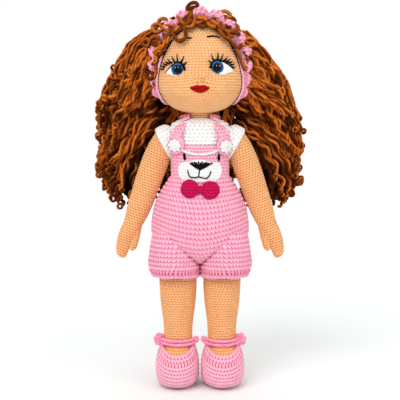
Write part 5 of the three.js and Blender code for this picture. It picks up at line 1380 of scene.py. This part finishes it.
def side_strands(side, count, rear):
    """Strands of one side: each starts at the head and sweeps outwards as it falls."""
    made = []
    for k in range(count):
        share = (k + rng.uniform(0, 1)) / count
        top = HAIR_TOP - 84 * share if k % 5 else rng.uniform(235, 262)
        u0 = rng.uniform(0.0, 0.3) if k % 4 else rng.uniform(0.2, 0.7)
        if k % 3 == 0:
            low = rng.uniform(162, 212)
            u1 = rng.uniform(0.15, 0.97)
        else:
            low = max(top - rng.uniform(38, 112), rng.uniform(162, 190))
            u1 = min(0.985, u0 + rng.uniform(0.45, 1.0))
        t = np.linspace(0, 1, 26)
        z = top + (low - top) * t ** 1.25
        u = u0 + (u1 - u0) * t ** 0.75
        layer = rng.uniform(0.1, 1.0) if rear else -rng.uniform(0.0, 1.0) ** 0.6
        if abs(layer) > 0.7:
            # Strands near the surface are shorter and fan out more evenly
            low = max(top - rng.uniform(36, 80), rng.uniform(163, 200))
            u0 = rng.uniform(0.0, 0.25) if share < 0.75 else rng.uniform(0.0, 0.55)
            u1 = min(0.985, u0 + rng.uniform(0.35, 0.9))
            z = top + (low - top) * t ** 1.2
            u = u0 + (u1 - u0) * t ** 0.85
        inner, outer, middle, depth = side_hair_at(z)
        x = inner + INSET + u * (outer - inner - 2 * INSET)
        room = np.sqrt(np.clip(1 - (2 * u - 1) ** 2 * 0.85, 0, 1))
        y = middle + layer * np.maximum(depth - INSET, 0.5) * room
        line = outside_head(np.column_stack([x, y, z]), STRAND + 1.0 + 2.5 * rng.uniform(0, 1))
        line[:, 0] *= side
        # The root bends in to the scalp
        root = line[0] + [-side * 5, -2 if rear else 3, 4]
        line = smooth_line(np.vstack([root, line[::3]]), 6)
        edge = u1 > 0.8
        tail = rng.uniform(10, 30) if edge else rng.uniform(0, 14)
        # Painted shade: strands deep inside the layer get a darker tone
        tone = rng.uniform(0.45, 1.0) if abs(layer) > 0.55 else rng.uniform(0.1, 0.6)
        made.append((line, rng.uniform(17, 32), rng.uniform(1.2, 2.9), tail,
                     rng.uniform() < (0.7 if edge else 0.15), tone))
    return made


def back_strands(count):
    """Strands from the crown down over the back of the head and shoulders."""
    made = []
    for k in range(count):
        share = (k + rng.uniform(0, 1)) / count
        top = HAIR_TOP - 86 * share
        low = rng.uniform(158, 205) if k % 2 else max(158, top - rng.uniform(50, 120))
        u0 = rng.uniform(-0.95, 0.95)
        u1 = np.clip(u0 * rng.uniform(0.9, 1.35) + rng.uniform(-0.3, 0.3), -0.97, 0.97)
        t = np.linspace(0, 1, 26)
        z = top + (low - top) * t ** 1.1
        u = u0 + (u1 - u0) * t
        wide, reach, deep = back_hair_at(z)
        under = rng.uniform(0, 6)
        x = u * (wide - INSET) * (1 + 0.4 * rng.uniform() * t)
        y = reach - INSET - under - deep * 0.5 * (1 - np.sqrt(np.clip(1 - u ** 2 * 0.8, 0, 1)))
        line = outside_head(np.column_stack([x, y, z]), STRAND + 1.0)
        root = line[0] + [0, -5, 2]
        line = smooth_line(np.vstack([root, line[::3]]), 6)
        # Painted shade: the tone is darker the further a strand lies under the surface
        made.append((line, rng.uniform(18, 34), rng.uniform(1.2, 2.7), rng.uniform(6, 26),
                     rng.uniform() < 0.4, 0.9 - under / 6 * rng.uniform(0.5, 0.9)))
    return made


def crown_strands(count):
    """Strands from behind the band over the top of the head, by turns falling behind and aside."""
    made = []
    for k in range(count):
        u = -0.97 + 1.94 * (k + rng.uniform(0, 1)) / count
        lift = STRAND + 0.8 + rng.uniform(0, 1.6)
        inset = INSET + rng.uniform(0, 2.5)
        if k % 2:
            x, y = u * np.linspace(24, 33, 5), np.linspace(-1, 30, 5)
            z = np.linspace(328, rng.uniform(205, 290), 13)
            wide, reach, _ = back_hair_at(z)
            fall = np.column_stack([u * (wide - 3), reach - inset, z])
        else:
            side = math.copysign(1, u)
            x, y = side * np.linspace(2 + 16 * abs(u), 31, 5), np.full(5, -1 + 27 * rng.uniform())
            z = np.linspace(333, rng.uniform(225, 290), 13)
            inner, outer, middle, depth = side_hair_at(z)
            layer = -0.8 + 1.75 * (k * 7 % 20) / 20
            out = 0.5 + 0.5 * math.sqrt(1 - layer ** 2)
            fall = np.column_stack([side * (inner + inset + out * (outer - inner - 2 * inset)),
                                    middle + layer * np.maximum(depth - inset, 0.5), z])
        over = np.column_stack([x, y, [crown_height(*at) + lift for at in zip(x, y)]])
        line = outside_head(np.vstack([over, fall[::3]]), STRAND + 1.0)
        made.append((smooth_line(line, 6), rng.uniform(17, 32), rng.uniform(1.2, 2.6), rng.uniform(6, 24),
                     rng.uniform() < 0.4, rng.uniform(0.45, 1.0)))
    return made


def nape_strands(count):
    """Strands behind the neck, shoulders and arms, seen past the body's sides."""
    made = []
    for k in range(count):
        u = -0.95 + 1.9 * (k + rng.uniform(0, 1)) / count
        low = rng.uniform(159, 200)
        t = np.linspace(0, 1, 22)
        z = NAPE_TOP + (low - NAPE_TOP) * t
        wide, reach, deep = back_hair_at(z)
        x = u * (wide - 3) * (0.9 + 0.1 * t)
        y = np.maximum(reach - deep + 3 + rng.uniform(0, 5), ARM_BACK + 6)
        line = outside_head(np.column_stack([x, y, z]), STRAND + 1.0)
        made.append((line, rng.uniform(20, 34), rng.uniform(1.0, 2.2), rng.uniform(8, 22),
                     rng.uniform() < 0.3, rng.uniform(0.2, 0.8)))
    return made


def grown_strands(strands):
    """The strands with their waves and curls, held inside the hair's outline."""
    lines = []
    for line, wave, swing, tail, ring, tone in strands:
        points, thin = curled(line, wave, swing, tail, ring)
        x, y, z = points.T
        points[:, 1] = np.where(z < SHOULDER_Z, np.maximum(y, ARM_BACK + 0.6), y)
        points[:, 1] = np.minimum(points[:, 1], BACK_REACH - 1.0)
        ragged = rng.uniform(0.9, 1.06)
        right, left = (np.interp(z, OUTER_REACH[:, 0], OUTER_REACH[:, k]) * ragged for k in (1, 2))
        points[:, 0] = np.clip(x, -right, left)
        lines.append((points, STRAND * rng.uniform(0.94, 1.08) * thin, tone))
    return lines


CELL = 3.0
CELLS = np.array([80, 34, 78])
CORNER = np.array([-120.0, -40.0, 140.0])


def cell_of(points):
    """The small cell of the hair that each point lies in."""
    return tuple(((points - CORNER) / CELL).astype(int).clip(0, CELLS - 1).T)


def hair_density(all_lines):
    """How much strand lies in each small cell of the hair."""
    cells = np.zeros(CELLS)
    for line, _, _ in all_lines:
        np.add.at(cells, cell_of(line), 1)
    return cells


def open_side(points):
    """The way from inside the side hair out through its surface."""
    _, _, middle, _ = side_hair_at(points[:, 2])
    return unit(np.column_stack([points[:, 0] * 0.012, (points[:, 1] - middle) * 0.06, 0 * middle + 0.15]))


def open_back(points):
    """The way out of the hair behind."""
    x, y, z = points.T
    return unit(np.column_stack([x * 0.012, 0 * y + 1.0, 0 * z + 0.15]))


def open_top(points):
    """The way out of the hair over the crown."""
    x, y, z = points.T
    return unit(np.column_stack([x * 0.015, (y - 6) * 0.03, 0 * z + 0.6]))


def open_front(points):
    """The way out of the nape's hair, which is seen from the front."""
    return np.tile([0.0, -1.0, 0.0], (len(points), 1))


def open_hairline(points):
    """The way out of the loops along the hairline."""
    return skull_normal(points) * 0.75 + np.array([0, -0.6, 0.2])


def painted_depth_shade(lines, cells, open_way):
    """Paints shade on strands: darker the deeper they lie under others."""
    made = []
    for line, radius, tone in lines:
        outer = open_way(line)
        over = sum(cells[cell_of(line + outer * step)] for step in (4.5, 7.5, 10.5, 13.5))
        light = np.exp(-over * 0.24)
        light = np.convolve(np.r_[[light[0]] * 3, light, [light[-1]] * 3], np.ones(7) / 7, "valid")
        made.append((line, radius, np.clip(tone * 0.45 + 0.6 * light, 0, 1) * (0.2 + 0.8 * light)))
    return made


HAIR_BLEND = ("torso", "head", frame_point(0, 0, 178), frame_point(0, 0, 268))  # two bodies and two places between them; the hair is fixed in place
hair_sets = {  # strands, the node they stand for, and the way out of them, which sets their painted shade
    "hair_strands_right": (side_strands(-1, 108, False), ["hair_right"], open_side),
    "hair_strands_right_rear": (side_strands(-1, 54, True), [], open_side),
    "hair_strands_left": (side_strands(1, 108, False), ["hair_left"], open_side),
    "hair_strands_left_rear": (side_strands(1, 54, True), [], open_side),
    "hair_strands_back": (back_strands(120), ["hair_back"], open_back),
    "hair_strands_nape": (nape_strands(40), [], open_front),
    "hair_strands_crown": (crown_strands(104), [], open_top),
}
hair_lines = {name: grown_strands(strands) for name, (strands, _, _) in hair_sets.items()}
cells = hair_density([line for lines in hair_lines.values() for line in lines])
for name, (_, replaced, way) in hair_sets.items():
    tubes(name, painted_depth_shade(hair_lines[name], cells, way), hair_yarn, HAIR_BLEND, replaced,
          sides=6, bead=0.05, open_way=way)

# Looped strands along the hairline, in front of the band
LOOPS = {  # each route's places in millimetres, from its root to its free end
    "crown_loop": [(-13, -12.1, 349.3), (-11.9, -14.5, 353.1), (-11.2, -14.2, 356.7), (-8.2, -13.3, 359.5),
        (-4.6, -13.2, 360.3), (-2, -14, 358.2), (-3.8, -14.6, 356.1), (-7.1, -14.1, 355.6),
        (-8.8, -13.2, 354), (-6.8, -13.3, 351.7), (-4.6, -14.1, 349.5)],
    "knot_outer": [(-17.2, -12.6, 349.2), (-19.6, -14.3, 347.6), (-18.7, -15.5, 344.7),
        (-16.2, -18.4, 341.5), (-11.9, -21.8, 337.8), (-7.8, -24.3, 337.9), (-5.3, -20.6, 341.5),
        (-4.7, -16.1, 345.5), (-6, -13.2, 349.6), (-8.2, -13.3, 351)],
    "knot_inner": [(-17.6, -12.6, 345.5), (-15.1, -13.1, 344.7), (-13, -15, 347.8), (-10.4, -15.3, 350.4),
        (-7.5, -15.2, 350.6), (-9.3, -16, 347), (-11.2, -17.6, 343.7)],
    "left_u": [(-27.3, -14.6, 338.2), (-26.3, -18.3, 334), (-23.6, -23.4, 329), (-20.6, -27.1, 325.4),
        (-16.9, -29.5, 324.5), (-13.9, -29.5, 327), (-12.9, -27.4, 331.2), (-13.9, -23.9, 335.1),
        (-15.3, -18.9, 338.4), (-18.8, -11.2, 340.8)],
    "left_ring_a": [(-28, -14.6, 334.1), (-30.9, -13.3, 335.5), (-35, -11.5, 338.5), (-39.2, -9.4, 340.9),
        (-42.9, -9, 340.2), (-44.1, -10, 337), (-42.4, -12.4, 334.2), (-38.8, -13.2, 333.5),
        (-35.9, -12.1, 335.3), (-33.6, -11.2, 337.9), (-30.6, -13.4, 340), (-27.6, -14.4, 339.2)],
    "left_ring_b": [(-47, -9.6, 325.3), (-49.5, -9.3, 327.3), (-52.3, -8.5, 325.6), (-52.3, -7.4, 322.4),
        (-49.7, -8, 320.9), (-47.2, -9, 322.3), (-46.6, -10.4, 325.2), (-44.7, -11.2, 328.2),
        (-41.1, -12.1, 329.8), (-38.1, -13.2, 328.3)],
    "left_curl_c": [(-46.3, -8.6, 326), (-43.2, -9.3, 328.2), (-39.9, -11.5, 327.5), (-37.8, -12.4, 325.4),
        (-39.3, -12, 322.4), (-42.2, -9, 322.3), (-44.7, -8.4, 323.8)],
    "left_curl_d": [(-36.6, -13.6, 324.6), (-38, -11.3, 320.1), (-41.8, -9.5, 316.4), (-44.9, -7.4, 312.8),
        (-46.8, -6, 308.8), (-44.1, -7, 305.4), (-40.7, -8.4, 306.5), (-40, -9.2, 309.8),
        (-42.3, -8.1, 312.1), (-38.9, -10.2, 315.8), (-35.9, -13.4, 316.4)],
    "left_curl_e": [(-38.8, -9.6, 341.5), (-37.2, -9.3, 344.7), (-34.3, -10.5, 345.8),
        (-31.4, -11.4, 345.2), (-30.3, -12, 342.3), (-26.9, -13, 340.7)],
    "left_curl_f": [(-34.3, -11.6, 331.9), (-31.3, -14.3, 328.9), (-31.9, -15.5, 324.5),
        (-34.2, -13.4, 320.9), (-36.5, -12, 318)],
    "mid_curl_a": [(-4.6, -15.8, 345.5), (-2.7, -18.5, 341.9), (0.2, -22.8, 338.6), (3.8, -22.8, 338),
        (3.5, -19, 340.6), (1.3, -16, 343), (-0.9, -15.6, 344.4)],
    "mid_curl_b": [(2, -13.8, 345.9), (5.7, -14.5, 345.5), (6.1, -18.2, 342.3), (8.6, -21.7, 339.2),
        (13, -21.8, 337.1), (11.9, -18.9, 340.1), (7.9, -16.6, 341.9)],
    "right_hook": [(15, -15, 341.9), (16.3, -18.3, 337.5), (18.8, -22.3, 333), (21.8, -23.6, 329.5),
        (25.2, -21.4, 327.1), (26.6, -18, 330.1), (23.5, -18.4, 333.3), (20.6, -17.2, 337.8),
        (18.4, -13.1, 341.5)],
    "right_ring_a": [(10.8, -13.8, 344.1), (14.5, -13.7, 346.5), (19.8, -12.5, 347.9), (25.8, -11.4, 347),
        (30.7, -11, 346), (32.1, -11, 342.9), (29.5, -12.4, 339.9), (26.5, -13.2, 338.1),
        (24.7, -13.1, 339.7), (27.3, -12.2, 342.3)],
    "right_ring_b": [(16.9, -12.6, 349.5), (19.8, -12.3, 351.6), (23.5, -11.5, 352.4), (27.3, -11.4, 350.3),
        (28, -12, 347.8), (24.7, -13, 346.9)],
    "right_ring_c": [(30.6, -11.6, 341.5), (34.3, -11.3, 339.2), (34.8, -12.5, 335.9), (30.3, -15.4, 334.3),
        (25.5, -18, 333.6), (22.1, -19, 334.7), (19.5, -18.4, 337)],
    "right_drop_a": [(29.5, -16.6, 332.7), (35, -12.3, 332.2), (38.1, -9.5, 328.2), (38.7, -9.4, 323.1),
        (36.3, -12, 319.1), (33.3, -15, 319.4), (30.4, -17.5, 322.1), (27.8, -19.8, 325.3),
        (25.6, -20.6, 327.1)],
    "right_band_loop": [(40.3, -9.6, 326), (44.7, -8.3, 328), (49.9, -7.5, 326.7), (51.2, -7.4, 323.9),
        (47.1, -8, 320.9), (42.6, -9, 320), (39.5, -10.4, 322.3), (38.5, -9.2, 325.3)],
    "right_drop_b": [(33.7, -15.6, 317.2), (36.9, -12.3, 310.9), (38.9, -9.5, 305.4), (41.1, -7.4, 300.2),
        (43.7, -5, 301), (44.5, -5, 306.1), (43.3, -6.4, 312), (40.7, -8.2, 316.4)],
    "right_drop_c": [(43, -6.6, 317.9), (47.4, -4.3, 312), (50.4, -3.5, 307.6), (49.8, -1.4, 303.2),
        (46.5, -1, 300.2), (44.5, -3, 297.3)],
    "left_drop_g": [(-37.9, -9.6, 315.7), (-39.1, -8.3, 310.5), (-42.9, -7.5, 305.4), (-48.9, -4.4, 302.5),
        (-51.6, -3, 297.3), (-49.7, -4, 292.8), (-45.9, -5.4, 290.6), (-43.7, -5.2, 293.5),
        (-45.2, -3.1, 298)],
    "left_drop_h": [(-41.4, -7.6, 302.4), (-40.7, -6.9, 297.2), (-42.2, -5.5, 292.8), (-46, -3.4, 289.9),
        (-44.5, -3, 286.1), (-42.2, -3, 283.9)],
}
LOOP_TONES = 10
SMALL_CURLS = 13


def small_curls():
    """Small loose curls just in front of the band, over the forehead."""
    over = np.nonzero((band_line[:, 2] > 314) & (band_line[:, 0] < 24))[0]
    front_sign = np.where(band_across[over[len(over) // 2], 1] < 0, 1, -1)
    curls = []
    for k in range(SMALL_CURLS):
        at = over[int((k + rng.uniform(0.1, 0.9)) / SMALL_CURLS * len(over))]
        base, out, along = band_line[at], band_out[at], band_along[at]
        forward = band_across[at] * front_sign
        size = rng.uniform(2.4, 3.8)
        turn = np.linspace(0, 2 * math.pi * rng.uniform(0.8, 1.25), 16) + rng.uniform(0, 6.28)
        middle = base + forward * rng.uniform(4.5, 8.5) + out * rng.uniform(2.2, 5.5)
        curl = (middle + np.outer(np.cos(turn) * size * 1.25, along)
                + np.outer(np.sin(turn) * size, band_across[at]) + np.outer(np.linspace(0, 1.6, 16), out))
        root = base + forward * 5.5 + out * 2.0
        curls.append((walked(smooth_line(np.vstack([root, curl[::2]]), 6), 1.2), STRAND * 0.95,
                      rng.uniform(0.35, 1.0)))
    return curls


fringe = [(walked(smooth_line(route, 8), 1.2), STRAND, 0.25 + 0.6 * (k * 7 % LOOP_TONES) / LOOP_TONES)
          for k, route in enumerate(LOOPS.values())]
tubes("hairline_loops", fringe + small_curls(), hair_yarn, "head", ["hair_fringe"], sides=8,
      bead=0.05, open_way=open_hairline)


# Painted shade seen only between the strands: the wig base that they are knotted on, coloured as hair in deep
# shade, and dark masses inside the hair
def painted_shade_mass(name, levels, body, mirror=False):
    """A dark mass inside the hair: painted shade which closes the gaps between its strands."""
    form = Form(levels)
    crocheted(name, form, 0.0, form.length[-1], LOOSE, hair_painted_shade, body, (), mirror=mirror,
              per_stitch=3, per_row=3)


def hairline(angle):
    """Where the wig base starts: high over the forehead, at the nape behind."""
    across = np.abs(np.cos(angle)) * HEAD_WIDE
    front = np.interp(across, [0, 25, 34, 39], [343, 338, 330, 300])
    z = np.where(np.sin(angle) < 0, front, np.interp(np.sin(angle), [0, 0.3], [300, 268]))
    return head_form.reach_of(z)


# The wig base is the real cap, coloured in painted shade
crocheted("wig_base", head_form, hairline, head_form.length[-1], FINE, hair_painted_shade, "head", ["wig_cap"],
          lift=0.9, per_stitch=3, per_row=3)
core_z = np.array([172, 186, 204, 222, 241, 254, 267, 283, 298, 312, 326, 337, 343])
slim = np.interp(core_z, [172, 190, 298, 330, 343], [0.3, 1, 1, 0.5, 0.15])
inner, outer, middle, depth = side_hair_at(core_z)
side_core = [(z, max((o - i) / 2 - 10, 2) * s, max(d - 6.5, 1.5) * s, (o + i) / 2 - 4, m)
             for z, i, o, m, d, s in zip(core_z, inner, outer, middle, depth, slim)]
for name, flip in SIDES:
    painted_shade_mass(f"hair_core_{name}", side_core, HAIR_BLEND, mirror=flip)
core_z, slim = core_z[3:], slim[3:]
wide, reach, deep = back_hair_at(core_z)
painted_shade_mass("hair_core_back", [(z, (w - 8) * s, max(d / 2 - 4.6, 1.5) * s, 0, r - d / 2 - 1)
                             for z, w, r, d, s in zip(core_z, wide, reach, deep, slim)], HAIR_BLEND)

# Inner pieces that no view shows keep their solids, with the finish of what they are
inner_looks = {
    fibre_fill: ["torso_stuffing", "head_stuffing", "leg_left_stuffing", "leg_right_stuffing"],
    washer_plastic: ["eye_washer_left", "eye_washer_right"],
    beech: ["neck_dowel"],
    arm_thread: ["shoulder_thread"],
}
for look, names in inner_looks.items():
    for name in names:
        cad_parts[name].data.materials.clear()
        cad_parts[name].data.materials.append(look)

# Floor, backdrop, lights and camera
FLOOR_GLOW = 0.03
WORLD_LIGHT = 0.54
floor_look, tree = new_material("studio_floor")
is_camera = add(tree, "ShaderNodeLightPath", out="Is Camera Ray")
seen = add(tree, MATH, is_camera, FLOOR_GLOW, operation="MULTIPLY")
add(tree, OUTPUT, add(tree, SHADER, named={
    "Base Color": colour("#eef2f1"), "Roughness": 0.95, "Specular IOR Level": 0.0,
    "Emission Color": (1, 1, 1, 1), "Emission Strength": seen}))
bpy.ops.object.select_all(action="DESELECT")
bpy.ops.mesh.primitive_plane_add(size=14, location=(0, 0, 0))
floor = bpy.context.active_object
floor.name = "floor"
floor.data.materials.append(floor_look)

world = bpy.data.worlds.new("studio")
bpy.context.scene.world = world
world.use_nodes = True
sky = world.node_tree
sky.nodes.clear()
is_camera = add(sky, "ShaderNodeLightPath", out="Is Camera Ray")
strength = add(sky, RANGE, is_camera, 0.0, 1.0, WORLD_LIGHT, 1.0)
add(sky, "ShaderNodeOutputWorld", add(sky, "ShaderNodeBackground", (1, 1, 1, 1), strength))


def softbox(name, way, strength, spread):
    """A broad soft light that shines along a direction."""
    data = bpy.data.lights.new(name, "SUN")
    data.energy = strength
    data.angle = math.radians(spread)
    made = bpy.data.objects.new(name, data)
    bpy.context.scene.collection.objects.link(made)
    made.rotation_mode = "QUATERNION"
    made.rotation_quaternion = Vector(way).to_track_quat("-Z", "Y")
    return made


softbox("key", (0.4, 0.75, -0.8), 1.42, 45)
softbox("fill", (-0.65, 0.6, -0.6), 0.7, 60)
softbox("top", (0.0, -0.25, -1.0), 0.66, 50)
# Each eye mirrors two small windows beside the camera, which add no diffuse light
WINDOW_GLOW, WINDOW_SPREAD = 1.2, 11
to_camera = Vector((0, -1, -0.02)).normalized()
for name, turn in (("right", -EYE_TURN), ("left", EYE_TURN)):
    for place, aside in (("a", -8), ("b", 9)):
        way = math.radians(turn + aside)
        facing = Vector((math.sin(way), -math.cos(way), 0.13)).normalized()
        way_in = to_camera - 2 * facing.dot(to_camera) * facing
        window = softbox(f"window_{name}_{place}", way_in, WINDOW_GLOW, WINDOW_SPREAD)
        window.visible_diffuse = False

CAMERA_AT = (0, -1.0035, 0.285)
CAMERA_DIP = 6.2  # degrees that it looks down
camera_data = bpy.data.cameras.new("view")
camera_data.lens = 95.3
camera_data.sensor_width = 36
camera = bpy.data.objects.new("view", camera_data)
bpy.context.scene.collection.objects.link(camera)
camera.location = CAMERA_AT
camera.rotation_euler = (math.radians(90 - CAMERA_DIP), 0, 0)
bpy.context.scene.camera = camera
bpy.context.scene.view_settings.view_transform = "Standard"
